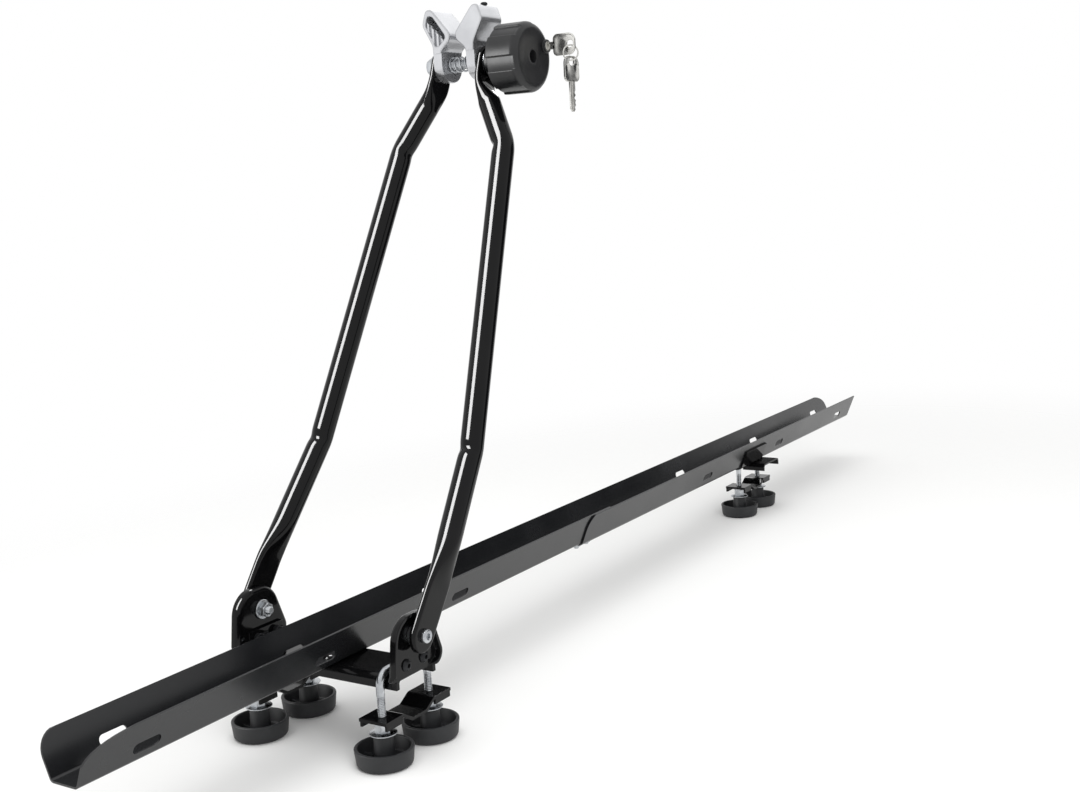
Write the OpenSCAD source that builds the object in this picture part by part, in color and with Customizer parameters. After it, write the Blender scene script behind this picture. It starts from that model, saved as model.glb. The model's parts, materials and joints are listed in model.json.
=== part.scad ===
// Roof mounted bike carrier: wheel tray, folding A-frame and bar clamps.
// x = 0 is the middle of the tray, y = 0 the front roof bar, z = 0 the top of the bars.
// +Y runs along the tray to its rear end.

/* [Roof bars] */
// Diameter of the round roof bar that the clamps close on
bar_d = 30; // [24:1:32]
// Distance between the two roof bars
bar_spacing = 745; // [720:5:780]

/* [Wheel tray] */
// Length of the front channel
front_tray_len = 617; // [590:1:640]
// Length of the rear channel
rear_tray_len = 723; // [700:1:780]
// Reach of the front channel ahead of the front bar
tray_reach = 246; // [235:1:260]
// Length over which the two channels overlap
tray_overlap = 40; // [34:1:60]
// Sheet thickness of both channels
tray_t = 1.4; // [1:0.1:1.8]
// Width of the channel floor, outside
floor_w = 24; // [23:1:30]
// Width across the channel mouth, outside
mouth_w = 46; // [42:1:54]
// Height of the channel, floor underside to rim
tray_h = 28; // [26:1:34]
// Bend radius of the channel sheet, at the middle of the sheet
tray_bend_r = 3; // [2:0.5:4]
// Run of the long rounded wall end, along the tray
long_corner = 36; // [20:1:45]
// Run of the short rounded wall ends, along the tray
short_corner = 14; // [8:1:20]
// Drop of the rounded wall ends below the rim
corner_drop = 14; // [6:1:16]
// Length of a strap slot
slot_len = 22; // [16:1:26]
// Width of a strap slot
slot_w = 7; // [5:0.5:8]
// Height of the strap slots above the channel floor
slot_rise = 9.5; // [8:0.5:12]
// Distance of the first slot from each end of the tray
slot_end = 50; // [46:1:60]
// Spacing of the slots in the front channel
front_slot_pitch = 164; // [140:1:180]
// Spacing of the slots in the rear channel
rear_slot_pitch = 203; // [180:1:220]
// Clearance between the two nested channels
nest_gap = 0.1; // [0.05:0.05:0.3]

/* [Base plate and ears] */
// Sheet thickness of the base plate
base_t = 3.4; // [2.8:0.1:4]
// Half width of the base plate, at the middle of its flanges
base_half = 21; // [18:0.5:21.5]
// Depth of the base plate flanges below the bar top
flange_drop = 6; // [4:0.5:12]
// Distance between the outer edges of the two ears' rims
ear_span = 155; // [150:1:180]
// Sheet thickness of the ears
ear_t = 2.5; // [2:0.1:3]
// Depth of an ear, from the back of its face to the edge of its rim
ear_rim = 7; // [6:0.5:8]
// Height of the ears above the bar top
ear_h = 47; // [46:1:54]
// Height of the base plate's end tabs above the bar top
tab_h = 17; // [15:0.5:19]
// Height of the ear bolts above the bar top
ear_bolt_z = 10.5; // [9.5:0.5:11.5]
// Spacing of the two bolts of an ear
ear_bolt_pitch = 20; // [16:1:26]

/* [Bar clamps] */
// Diameter of the U-bolt rod
rod_d = 6; // [5:0.5:6.5]
// Half of the spacing of a U-bolt's legs
leg_half = 27; // [26.5:0.5:32]
// Radius of a U-bolt's corners, at the middle of the rod
u_corner_r = 9; // [7:0.5:12]
// Distance of the front U-bolts inside the ears' outer faces
clamp_inset = 18.5; // [17:0.5:23]
// Sheet thickness of a clamp plate
clamp_t = 2.4; // [2:0.1:3]
// Width of a clamp plate
clamp_w = 24; // [21:1:30]
// Length of a clamp plate
clamp_len = 76; // [74:1:90]
// Rise of a clamp plate's ends above its middle
end_rise = 6; // [4:0.5:7]
// Depth of the lips beside a clamp plate's ends
lip_drop = 4; // [2:0.5:5]
// Outer diameter of a clamp washer
washer_d = 15; // [13:0.5:15.5]
// Thickness of the clamp washers
washer_t = 1.6; // [1.2:0.1:2]
// Outer diameter of a hand nut
nut_d = 43; // [38:0.5:46]
// Height of a hand nut's cup
nut_cup_h = 13.5; // [12:0.5:18]
// Height of the hub above the cup's rim
nut_hub_h = 9; // [6:0.5:14]
// Diameter of the hub
nut_hub_d = 14; // [13:0.5:18]
// Wall thickness of the hand nut
nut_wall = 2.4; // [1.8:0.1:3]
// Clearance between parts that turn or slide on each other
run_gap = 0.3; // [0.25:0.05:0.4]
// Clearance of a U-bolt leg in the thread of its nut, on the radius
thread_gap = 0.08; // [0.05:0.01:0.1]

/* [Frame tubes] */
// Outer diameter of the frame tube
tube_d = 18; // [16:0.5:20]
// Wall thickness of the frame tube
tube_wall = 1.5; // [1.2:0.1:2]
// Thickness of the flattened ends
flat_t = 5; // [4:0.1:6]
// Width of the flattened ends
flat_w = 25; // [22:0.5:26]
// Height of the fold pivot above the bar top
pivot_z = 30; // [29:0.5:33]
// Place of the fold pivot along the tray
pivot_y = -4; // [-8:0.5:0]
// Diameter of the pivot bolts
pivot_d = 6; // [5:0.5:7]
// Play of the left tube between its ear and its bolt head
splay_gap = 0.9; // [0.8:0.1:1.2]
// Lower bend, distance from the middle
low_bend_x = 73; // [68:1:76]
// Lower bend, place along the tray
low_bend_y = 79; // [70:1:90]
// Lower bend, height above the bar top
low_bend_z = 145; // [130:1:160]
// Upper bend, distance from the middle
top_bend_x = 50; // [46:1:56]
// Upper bend, place along the tray
top_bend_y = 179; // [165:1:190]
// Upper bend, height above the bar top
top_bend_z = 369; // [350:1:376]

/* [Head] */
// Place of the clamp spindle along the tray
spindle_y = 203; // [190:1:215]
// Height of the clamp spindle above the bar top
spindle_z = 436; // [430:1:460]
// Diameter of the clamp spindle
spindle_d = 8; // [6:0.5:9]
// Half of the gap between the two jaws' tongues
jaw_half = 12; // [11:0.5:14]
// Thickness of a jaw's tongue
tongue_t = 8; // [6:0.5:9]
// Radius of a jaw's round tongue
tongue_r = 14; // [12:0.5:15]
// Depth of a jaw along the tray
jaw_depth = 30; // [28:1:36]
// Height of the jaws above the spindle
jaw_rise = 44; // [42:0.5:48]
// Half of the gap between the two saddles
saddle_half = 2.6; // [2.4:0.1:5]
// Mean radius of the jaw spring
spring_r = 5.6; // [5.6:0.1:7]
// Wire diameter of the jaw spring
wire_d = 1.6; // [1.2:0.1:1.8]
// Curls of the jaw spring
curls = 4; // [3:1:5]
// Diameter of the knob
knob_d = 55; // [50:1:60]
// Length of the knob, rim to face
knob_len = 28; // [26:1:34]
// Stand-off of the knob's rim from its washer
knob_neck = 12; // [9:0.5:14]
// Diameter of the knob's boss
boss_d = 24; // [20:0.5:25]
// Wall thickness of the knob
knob_wall = 3; // [2.5:0.1:4]
// Number of flutes round the knob
flutes = 6; // [4:1:8]
// Depth of the flutes
flute_depth = 1.4; // [0.8:0.1:1.6]
// Angle that one flute takes up
flute_span = 24; // [16:1:30]
// Angle at which the first flute lies
flute_turn = 11.5; // [0:0.5:30]
// Radius at which the lock sits on the knob's face
lock_r = 19; // [18.6:0.1:19.4]
// Angle of the lock round the knob's face
lock_angle = 27; // [0:1:45]
// Diameter of the lock barrel
barrel_d = 11; // [10:0.5:11.5]
// Diameter of the lock plug
plug_d = 8; // [7.5:0.1:8.5]
// Width of a key's head
key_head_w = 20; // [18:0.5:22]
// Height of a key's head
key_head_h = 17; // [16:0.5:17.5]
// Length of a key's blade
key_blade = 23; // [20:0.5:26]
// Thickness of a key
key_t = 1.8; // [1.5:0.1:2]
// Mean radius of the key ring
ring_r = 6; // [6:0.1:7]
// Wire diameter of the key ring
ring_wire = 1.3; // [1:0.1:1.4]

/* [Hidden] */
$fn = 48;

// Places along the tray
front_y0 = -tray_reach;
front_y1 = front_y0 + front_tray_len;
rear_y0 = front_y1 - tray_overlap;
rear_y1 = rear_y0 + rear_tray_len;
splice_y = front_y1 - tray_overlap / 2;

// Channel section, measured at the middle of the sheet
floor_half = floor_w / 2 - tray_t / 2;
mouth_half = mouth_w / 2 - tray_t / 2;
wall_rise = tray_h - tray_t / 2;
wall_slope = (mouth_half - floor_half) / wall_rise;
front_floor_z = base_t + tray_t / 2;
nest = tray_t + nest_gap;
saddle_t = base_t - nest;
rear_floor_z = front_floor_z - nest;
rim_z = base_t + tray_h;
past = 1;

// Fasteners
splice_bolt_d = 5;
splice_bolt_pitch = 18;
rivet_d = 4;
rivet_pitch = 24;
fit = 0.1;
ear_bolt_d = 5;
hole_gap = 0.4;

// Bar clamp levels, from the bar downwards
plate_low = -bar_d;
plate_top = plate_low + end_rise;
plate_bottom = plate_top - clamp_t;
collar_h = 8.5;
collar_d = 12;
rose_d = 20;
rose_t = 1.2;
end_in = leg_half - 9;
collar_top = plate_bottom - washer_t - run_gap;
hub_top = collar_top - collar_h;
cup_rim = hub_top - nut_hub_h;
cup_bottom = cup_rim - nut_cup_h;
sleeve_d = rod_d + 3;
sleeve_len = nut_hub_h + 4;
leg_end = cup_bottom + nut_wall + 2;

// Across the ears
ear_out = ear_span / 2;
clamp_x = ear_out - clamp_inset;
ear_front = 29;
ear_back = 31;
ear_crown = 14;
ear_lean = 6;
crown_r = 19;
ear_in = ear_out - ear_rim;
ear_face = ear_in + ear_t;
tab_out = ear_in - run_gap;
pivot_head_d = pivot_d + 4;
pivot_head_h = 3.5;
pivot_nut_h = 5;

// Across the head
tongue_out = jaw_half + tongue_t;
flat_out = tongue_out + flat_t;
flat_mid = tongue_out + flat_t / 2;
head_washer_t = 1.6;
head_washer_d = 20;
nut_seat = 0.4;
spindle_nut_h = 6.5;
spindle_left = flat_out + nut_seat + head_washer_t + spindle_nut_h + 2;
knob_seat = flat_out + head_washer_t + run_gap;
knob_back = knob_seat + knob_neck;
knob_face = knob_back + knob_len;
spindle_right = knob_face - 9;
insert_d = spindle_d + 6;
insert_len = 15;
lock_y = spindle_y + lock_r * cos(lock_angle);
lock_z = spindle_z + lock_r * sin(lock_angle);
barrel_out = knob_face + 3;
plug_in = knob_back + 8;
key_hole_d = 6;
key_hole_in = 4.5;
key_blade_w = 6;
key_start = barrel_out + 5;
key_ring_x = key_start + key_head_w - key_hole_in;
ring_seat = 1;
ring_turn = 40;
spare_turn = -10;
ring_top_z = lock_z - ring_seat;
ring_z = ring_top_z - ring_r;
spare_hole_z = ring_z - ring_r - ring_seat;

// Flat and bent sheet
arc_steps = 6;
function unit(v) = v / norm(v);
function seg_normal(p, i) = let(d = unit(p[i + 1] - p[i])) [d[1], -d[0]];
function parallel_path(p, d) = [
    for (i = [0:len(p) - 1])
        let(a = seg_normal(p, max(i - 1, 0)), b = seg_normal(p, min(i, len(p) - 2)))
        p[i] + d * (a + b) / (1 + a * b)
];
function corner_arc(a, b, c, r) =
    let(u = unit(a - b), v = unit(c - b), half = acos(u * v) / 2,
        centre = b + unit(u + v) * r / sin(half),
        start = b + u * r / tan(half) - centre,
        turn = (u[0] * v[1] - u[1] * v[0] > 0 ? -1 : 1) * (180 - 2 * half),
        first = atan2(start[1], start[0]))
    [for (i = [0:arc_steps]) let(s = first + turn * i / arc_steps) centre + r * [cos(s), sin(s)]];
function round_path(p, r) = [
    for (i = [0:len(p) - 1])
        each (i == 0 || i == len(p) - 1) ? [p[i]] : corner_arc(p[i - 1], p[i], p[i + 1], r)
];
function round_outline(p, r) = [
    for (i = [0:len(p) - 1])
        each corner_arc(p[(i + len(p) - 1) % len(p)], p[i], p[(i + 1) % len(p)], r[i])
];
function inset_outline(p, d) = [
    for (i = [0:len(p) - 1])
        let(q = [p[(i + len(p) - 1) % len(p)], p[i], p[(i + 1) % len(p)]],
            a = seg_normal(q, 0), b = seg_normal(q, 1))
        p[i] + d * (a + b) / (1 + a * b)
];
function channel_path(rise, grow, z) = parallel_path([
    [-floor_half - rise * wall_slope, z + rise], [-floor_half, z],
    [floor_half, z], [floor_half + rise * wall_slope, z + rise]
], grow);

module bent_sheet(p, t, r) {
    q = round_path(p, r);
    inner = parallel_path(q, -t / 2);
    polygon(concat(parallel_path(q, t / 2), [for (i = [len(inner) - 1:-1:0]) inner[i]]));
}
module along_y(y0, y1) {
    translate([0, y1, 0]) rotate([90, 0, 0]) linear_extrude(y1 - y0) children();
}
module along_x(x0, x1) {
    translate([x0, 0, 0]) rotate([90, 0, 90]) linear_extrude(x1 - x0) children();
}
module x_rod(x0, x1, y, z, d) {
    translate([x0, y, z]) rotate([0, 90, 0]) cylinder(d = d, h = x1 - x0);
}
module z_rod(x, y, z0, z1, d) {
    translate([x, y, z0]) cylinder(d = d, h = z1 - z0);
}
module x_hex(x0, x1, y, z, across) {
    translate([x0, y, z]) rotate([0, 90, 0])
        cylinder(d = across / cos(30), h = x1 - x0, $fn = 6);
}
module rod_between(a, b, d) {
    v = b - a;
    translate(a) rotate([0, acos(v[2] / norm(v)), atan2(v[1], v[0])]) cylinder(d = d, h = norm(v));
}
module stadium(length, width) {
    square([length - width, width], center = true);
    for (s = [-1, 1]) translate([s * (length - width) / 2, 0]) circle(d = width);
}
module left_side() {
    mirror([1, 0, 0]) children();
}
module button_head() {
    intersection() {
        cylinder(d = 9, h = 2.6);
        translate([0, 0, -4]) sphere(d = 13.2);
    }
}

// Wheel tray
module wall_end_cut(y_end, inward, run, side) {
    arc = [for (i = [0:8]) let(s = 90 * i / 8)
        [y_end + inward * run * (1 - sin(s)), rim_z - corner_drop * (1 - cos(s))]];
    outer = [[y_end - inward * past, rim_z - corner_drop], [y_end - inward * past, rim_z + past],
        [y_end + inward * run, rim_z + past]];
    along_x(side > 0 ? 0 : -mouth_w, side > 0 ? mouth_w : 0) polygon(concat(outer, arc));
}
module strap_slots(first_y, pitch, z) {
    for (i = [0:2])
        along_x(-mouth_w, mouth_w) translate([first_y + i * pitch, z]) stadium(slot_len, slot_w);
}
// Slots that the rear U-bolt's legs and bends pass through
module rear_leg_slots(z0) {
    inner = leg_half - u_corner_r - hole_gap;
    outer = leg_half + rod_d / 2 + hole_gap;
    for (s = [-1, 1])
        translate([0, bar_spacing + s * (inner + outer) / 2, z0]) rotate(90)
            linear_extrude(rim_z) stadium(outer - inner, rod_d + 2 * hole_gap);
}
module splice_holes() {
    for (s = [-1, 1])
        z_rod(0, splice_y + s * splice_bolt_pitch / 2, -base_t, rim_z, splice_bolt_d + 2 * fit);
}
module front_tray() {
    color("#2b2c2e") difference() {
        along_y(front_y0, front_y1)
            bent_sheet(channel_path(wall_rise, 0, front_floor_z), tray_t, tray_bend_r);
        wall_end_cut(front_y0, 1, long_corner, 1);
        wall_end_cut(front_y0, 1, short_corner, -1);
        strap_slots(front_y0 + slot_end, front_slot_pitch, base_t + slot_rise);
        splice_holes();
        for (s = [-1, 1])
            z_rod(0, s * rivet_pitch / 2, -past, rim_z, rivet_d + 2 * fit);
    }
}
module rear_tray() {
    color("#2b2c2e") difference() {
        along_y(rear_y0, rear_y1)
            bent_sheet(channel_path(wall_rise, nest, front_floor_z), tray_t, tray_bend_r + nest);
        for (side = [-1, 1]) wall_end_cut(rear_y0, 1, short_corner, side);
        wall_end_cut(rear_y1, -1, long_corner, -1);
        strap_slots(rear_y1 - slot_end - 2 * rear_slot_pitch, rear_slot_pitch, base_t + slot_rise);
        splice_holes();
        rear_leg_slots(-past);
    }
}
module splice_bolts() {
    color("#9a9da1") for (s = [-1, 1]) translate([0, splice_y + s * splice_bolt_pitch / 2, 0]) {
        z_rod(0, 0, base_t - nest - 6, base_t + tray_t + past, splice_bolt_d);
        translate([0, 0, base_t + tray_t]) button_head();
    }
}
module splice_nuts() {
    color("#9a9da1") for (s = [-1, 1])
        translate([0, splice_y + s * splice_bolt_pitch / 2, base_t - nest - 4]) difference() {
            cylinder(d = 8 / cos(30), h = 4, $fn = 6);
            z_rod(0, 0, -past, 5, splice_bolt_d + 2 * fit);
        }
}
module tray_rivets() {
    color("#1c1d1f") for (s = [-1, 1]) translate([0, s * rivet_pitch / 2, 0]) {
        z_rod(0, 0, 0, base_t + tray_t + past, rivet_d);
        cylinder(d1 = rivet_d + 3, d2 = rivet_d, h = 1.5);
        intersection() {
            z_rod(0, 0, base_t + tray_t, base_t + tray_t + 2, 8);
            translate([0, 0, base_t + tray_t - 4]) sphere(d = 12);
        }
    }
}

// Base plate and ears
tab_y0 = pivot_y - ear_bolt_pitch / 2 - 8;
tab_y1 = pivot_y + ear_bolt_pitch / 2 + 8;
module ear_bolt_places() {
    for (s = [-1, 1]) translate([0, pivot_y + s * ear_bolt_pitch / 2, ear_bolt_z]) children();
}
module base_plate() {
    path = [[-base_half, -flange_drop], [-base_half, base_t / 2],
        [base_half, base_t / 2], [base_half, -flange_drop]];
    color("#131315") difference() {
        union() {
            along_x(-tab_out, tab_out) bent_sheet(path, base_t, 3.5);
            for (s = [-1, 1]) translate([s > 0 ? tab_out - ear_t : -tab_out, tab_y0, base_t / 2])
                cube([ear_t, tab_y1 - tab_y0, tab_h - base_t / 2]);
        }
        ear_bolt_places() x_rod(-ear_span, ear_span, 0, 0, ear_bolt_d + 2 * fit);
        for (s = [-1, 1]) translate([0, s * rivet_pitch / 2, 0]) {
            z_rod(0, 0, -past, base_t + past, rivet_d + 2 * fit);
            translate([0, 0, -fit]) cylinder(d1 = rivet_d + 3 + 4 * fit, d2 = rivet_d + 2 * fit, h = 1.7);
        }
    }
}
ear_foot = 2;
ear_outline = [[pivot_y - ear_front, ear_foot], [pivot_y - ear_front + ear_lean, ear_h],
    [pivot_y + ear_crown, ear_h], [pivot_y + ear_back, ear_foot]];
module right_ear_solid() {
    color("#131315") difference() {
        along_x(ear_in, ear_out) polygon(round_outline(ear_outline, [1.5, crown_r, crown_r, 4]));
        along_x(ear_face, ear_out + past) {
            polygon(round_outline(inset_outline(ear_outline, ear_t), [1, crown_r - ear_t, crown_r - ear_t, 2]));
            translate([pivot_y - ear_front + ear_t + past, ear_foot - past])
                square([ear_front + ear_back - 2 * ear_t - 4 * past, ear_t + 2 * past]);
        }
        x_rod(ear_in - past, ear_out + past, pivot_y, pivot_z, pivot_d + 2 * fit);
        ear_bolt_places() x_rod(ear_in - past, ear_out + past, 0, 0, ear_bolt_d + 2 * fit);
    }
}
module right_ear() {
    right_ear_solid();
}
module left_ear() {
    left_side() right_ear_solid();
}
module ear_bolt_side() {
    ear_bolt_places() {
        x_rod(tab_out - ear_t - 5, ear_face + past, 0, 0, ear_bolt_d);
        translate([ear_face, 0, 0]) rotate([0, 90, 0]) button_head();
    }
}
module ear_bolts() {
    color("#c4c6c8") {
        ear_bolt_side();
        left_side() ear_bolt_side();
    }
}
module ear_nut_side() {
    ear_bolt_places() difference() {
        x_hex(tab_out - ear_t - 4, tab_out - ear_t, 0, 0, 8);
        x_rod(tab_out - ear_t - 5, tab_out, 0, 0, ear_bolt_d + 2 * fit);
    }
}
module ear_nuts() {
    color("#c4c6c8") {
        ear_nut_side();
        left_side() ear_nut_side();
    }
}

// Rear saddle
module rear_saddle() {
    path = [[bar_spacing - base_half, -flange_drop], [bar_spacing - base_half, saddle_t / 2],
        [bar_spacing + base_half, saddle_t / 2], [bar_spacing + base_half, -flange_drop]];
    cheek_rise = 19;
    cheek_front = 52;
    cheek_back = 6;
    saddle_half_len = 30;
    cheek_grow = nest + tray_t / 2 + saddle_t / 2 + nest_gap;
    color("#1a1b1d") difference() {
        union() {
            along_x(-saddle_half_len, saddle_half_len) bent_sheet(path, saddle_t, 3.5);
            along_y(bar_spacing - cheek_front, bar_spacing + cheek_back)
                bent_sheet(channel_path(cheek_rise, cheek_grow, front_floor_z), saddle_t, tray_bend_r + cheek_grow);
        }
        rear_leg_slots(-past - flange_drop);
        along_x(-mouth_w, mouth_w)
            translate([rear_y1 - slot_end - rear_slot_pitch, base_t + slot_rise])
            stadium(slot_len + 4, slot_w + 4);
    }
}

// U-bolts
module u_bolt(x, y, crown_z) {
    bend_y = leg_half - u_corner_r;
    bend_z = crown_z - u_corner_r;
    color("#c9cbce") translate([x, y, 0]) {
        translate([0, -bend_y, crown_z]) rotate([-90, 0, 0]) cylinder(d = rod_d, h = 2 * bend_y);
        for (s = [0, 1]) mirror([0, s, 0]) {
            translate([0, bend_y, bend_z]) rotate([90, 0, 90])
                rotate_extrude(angle = 90) translate([u_corner_r, 0]) circle(d = rod_d);
            z_rod(0, leg_half, leg_end, bend_z, rod_d);
        }
    }
}
module front_left_u_bolt() {
    u_bolt(-clamp_x, 0, base_t + rod_d / 2);
}
module front_right_u_bolt() {
    u_bolt(clamp_x, 0, base_t + rod_d / 2);
}
module rear_u_bolt() {
    u_bolt(0, bar_spacing, rear_floor_z + tray_t / 2 + rod_d / 2);
}

// Fold pivot
function tube_gap(side) = side > 0 ? run_gap : splay_gap;
function head_seat(side) = ear_out + flat_t + 2 * tube_gap(side);
module pivot_bolt(side) {
    seat = head_seat(side);
    x_rod(ear_in - washer_t - pivot_nut_h - 3, seat + past, pivot_y, pivot_z, pivot_d);
    difference() {
        x_rod(seat, seat + pivot_head_h, pivot_y, pivot_z, pivot_head_d);
        x_hex(seat + pivot_head_h - 2, seat + pivot_head_h + past, pivot_y, pivot_z, pivot_d - 2);
    }
}
module pivot_bolts() {
    color("#c9cbce") {
        pivot_bolt(1);
        left_side() pivot_bolt(-1);
    }
}
module pivot_ring(x0, x1) {
    difference() {
        x_rod(x0, x1, pivot_y, pivot_z, washer_d);
        x_rod(x0 - past, x1 + past, pivot_y, pivot_z, pivot_d + 2 * fit);
    }
}
module pivot_washers() {
    color("#c9cbce") for (side = [-1, 1]) mirror([side < 0 ? 1 : 0, 0, 0]) {
        pivot_ring(ear_face, ear_out);
        pivot_ring(ear_in - washer_t, ear_in);
    }
}
module pivot_nut() {
    outer = ear_in - washer_t;
    difference() {
        x_hex(outer - pivot_nut_h, outer, pivot_y, pivot_z, pivot_d + 4);
        x_rod(outer - pivot_nut_h - past, outer + past, pivot_y, pivot_z, pivot_d + 2 * fit);
    }
}
module pivot_nuts() {
    color("#c9cbce") {
        pivot_nut();
        left_side() pivot_nut();
    }
}

// Bar clamps
module clamp_plate(x, y) {
    mid = clamp_t / 2;
    path = [[-clamp_len / 2, plate_top - mid], [-end_in, plate_top - mid], [-end_in + 10, plate_low - mid],
        [end_in - 10, plate_low - mid], [end_in, plate_top - mid], [clamp_len / 2, plate_top - mid]];
    lip_t = 2;
    color("#17181a") translate([x, y, 0]) difference() {
        union() {
            along_x(-clamp_w / 2, clamp_w / 2) bent_sheet(path, clamp_t, 3);
            for (s = [-1, 1], e = [-1, 1])
                translate([s * (clamp_w - lip_t) / 2 - lip_t / 2, e * (clamp_len / 4 + end_in / 2), 0])
                translate([0, -(clamp_len / 2 - end_in) / 2 + past, plate_bottom - lip_drop])
                cube([lip_t, clamp_len / 2 - end_in - 2 * past, lip_drop + mid]);
        }
        for (s = [-1, 1])
            z_rod(0, s * leg_half, plate_bottom - past, plate_top + past, rod_d + 2 * hole_gap);
    }
}
module clamp_washers(x, y) {
    color("#d2d4d6") for (s = [-1, 1]) difference() {
        z_rod(x, y + s * leg_half, plate_bottom - washer_t, plate_bottom, washer_d);
        z_rod(x, y + s * leg_half, plate_bottom - washer_t - past, plate_bottom + past,
            rod_d + 2 * hole_gap);
    }
}
module hand_nut(x, y) {
    r = nut_d / 2;
    taper = 1.5;
    edge = 3;
    rib_t = 2;
    color("#1b1c1e") translate([x, y, 0]) difference() {
        union() {
            rotate_extrude() polygon(concat(
                [[0, cup_bottom]],
                [for (i = [0:4]) let(s = -90 + 90 * i / 4)
                    [r - taper - edge + edge * cos(s), cup_bottom + edge + edge * sin(s)]],
                [[r, cup_rim], [r - nut_wall, cup_rim], [r - taper - nut_wall, cup_bottom + nut_wall],
                    [nut_hub_d / 2, cup_bottom + nut_wall], [nut_hub_d / 2, hub_top], [0, hub_top]]));
            for (i = [0:5]) rotate([0, 0, 60 * i])
                translate([nut_hub_d / 2 - past, -rib_t / 2, cup_bottom + past])
                cube([r - nut_wall - nut_hub_d / 2, rib_t, nut_wall + 3]);
        }
        z_rod(0, 0, hub_top - sleeve_len - fit, hub_top + past, sleeve_d + 2 * fit);
        z_rod(0, 0, cup_bottom + nut_wall, hub_top, rod_d + 2 * hole_gap);
    }
}
module nut_insert(x, y) {
    color("#c9cbce") translate([x, y, 0]) difference() {
        union() {
            translate([0, 0, hub_top]) cylinder(d = collar_d, h = collar_h, $fn = 6);
            z_rod(0, 0, hub_top, hub_top + rose_t, rose_d);
            z_rod(0, 0, hub_top - sleeve_len, hub_top + past, sleeve_d);
        }
        z_rod(0, 0, hub_top - sleeve_len - past, collar_top + past, rod_d + 2 * thread_gap);
    }
}

// Frame tubes
function yz_unit(a, b) = unit([0, b[1] - a[1], b[2] - a[2]]);
module flat_end(at, toward, length, reach) {
    d = yz_unit(at, toward);
    half = flat_w / 2 - 0.2;
    tip = tube_d / 2 - 1;
    translate([at[0] - flat_t / 2, 0, 0]) along_x(0, flat_t) translate([at[1], at[2]]) {
        circle(d = flat_w);
        rotate(atan2(d[2], d[1])) polygon([[0, half], [length, half], [length + reach, tip],
            [length + reach, -tip], [length, -half], [0, -half]]);
    }
}
// Wedges that press a round tube flat towards its end
function tube_roll(v) =
    let(tilt = acos(v[2]), turn = atan2(v[1], v[0]), n = [1, 0, 0] - v[0] * v)
    atan2(n * [-sin(turn), cos(turn), 0],
        n * [cos(tilt) * cos(turn), cos(tilt) * sin(turn), -sin(tilt)]);
module press_cut(at, toward, reach) {
    v = unit(toward - at);
    thin = flat_t / 2 - 0.7;
    wide = tube_d / 2 + 0.5;
    translate(at) rotate([0, acos(v[2]), atan2(v[1], v[0])]) rotate(tube_roll(v))
        rotate([90, 0, 0]) translate([0, 0, -flat_w]) linear_extrude(2 * flat_w)
        for (s = [-1, 1])
            polygon([[s * thin, -flat_t], [s * thin, 0], [s * wide, reach], [s * tube_d, reach],
                [s * tube_d, -flat_t]]);
}
module bent_tube(p, d) {
    knuckle = 0.5;
    for (i = [0:2]) rod_between(p[i], p[i + 1], d);
    for (i = [1:2]) translate(p[i]) sphere(d = d + knuckle);
}
module tube_bore(a, b, start, stop) {
    v = unit(b - a);
    rod_between(a + start * v, b - stop * v, tube_d - 2 * tube_wall);
    translate(a + (start + vent_in) * v) rotate([-90, 0, 0]) cylinder(d = vent_d, h = tube_d);
}
low_flat = 41;
low_press = 24;
low_lap = 8;
top_flat = 20;
top_press = 20;
top_lap = 3;
plug_len = 9;
vent_d = 5;
vent_in = 8;
module frame_tube(side) {
    pivot = [ear_out + tube_gap(side) + flat_t / 2, pivot_y, pivot_z];
    low = [low_bend_x, low_bend_y, low_bend_z];
    high = [top_bend_x, top_bend_y, top_bend_z];
    head = [flat_mid, spindle_y, spindle_z];
    start = pivot + low_flat * yz_unit(pivot, low);
    finish = head + top_flat * yz_unit(head, high);
    color("#0d0d0f") difference() {
        union() {
            difference() {
                bent_tube([start, low, high, finish], tube_d);
                press_cut(start, low, low_press);
                press_cut(finish, high, top_press);
            }
            flat_end(pivot, low, low_flat, low_lap);
            flat_end(head, high, top_flat, top_lap);
        }
        tube_bore(start, low, low_press + 4, plug_len);
        tube_bore(low, high, plug_len, plug_len);
        x_rod(pivot[0] - flat_t, pivot[0] + flat_t, pivot_y, pivot_z,
            pivot_d + 2 * (side > 0 ? fit : splay_gap));
        x_rod(0, head[0] + flat_t, spindle_y, spindle_z, spindle_d + 2 * spindle_play(side));
    }
}
function spindle_play(side) = side > 0 ? run_gap : 1;
module right_tube() {
    frame_tube(1);
}
module left_tube() {
    left_side() frame_tube(-1);
}

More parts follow.
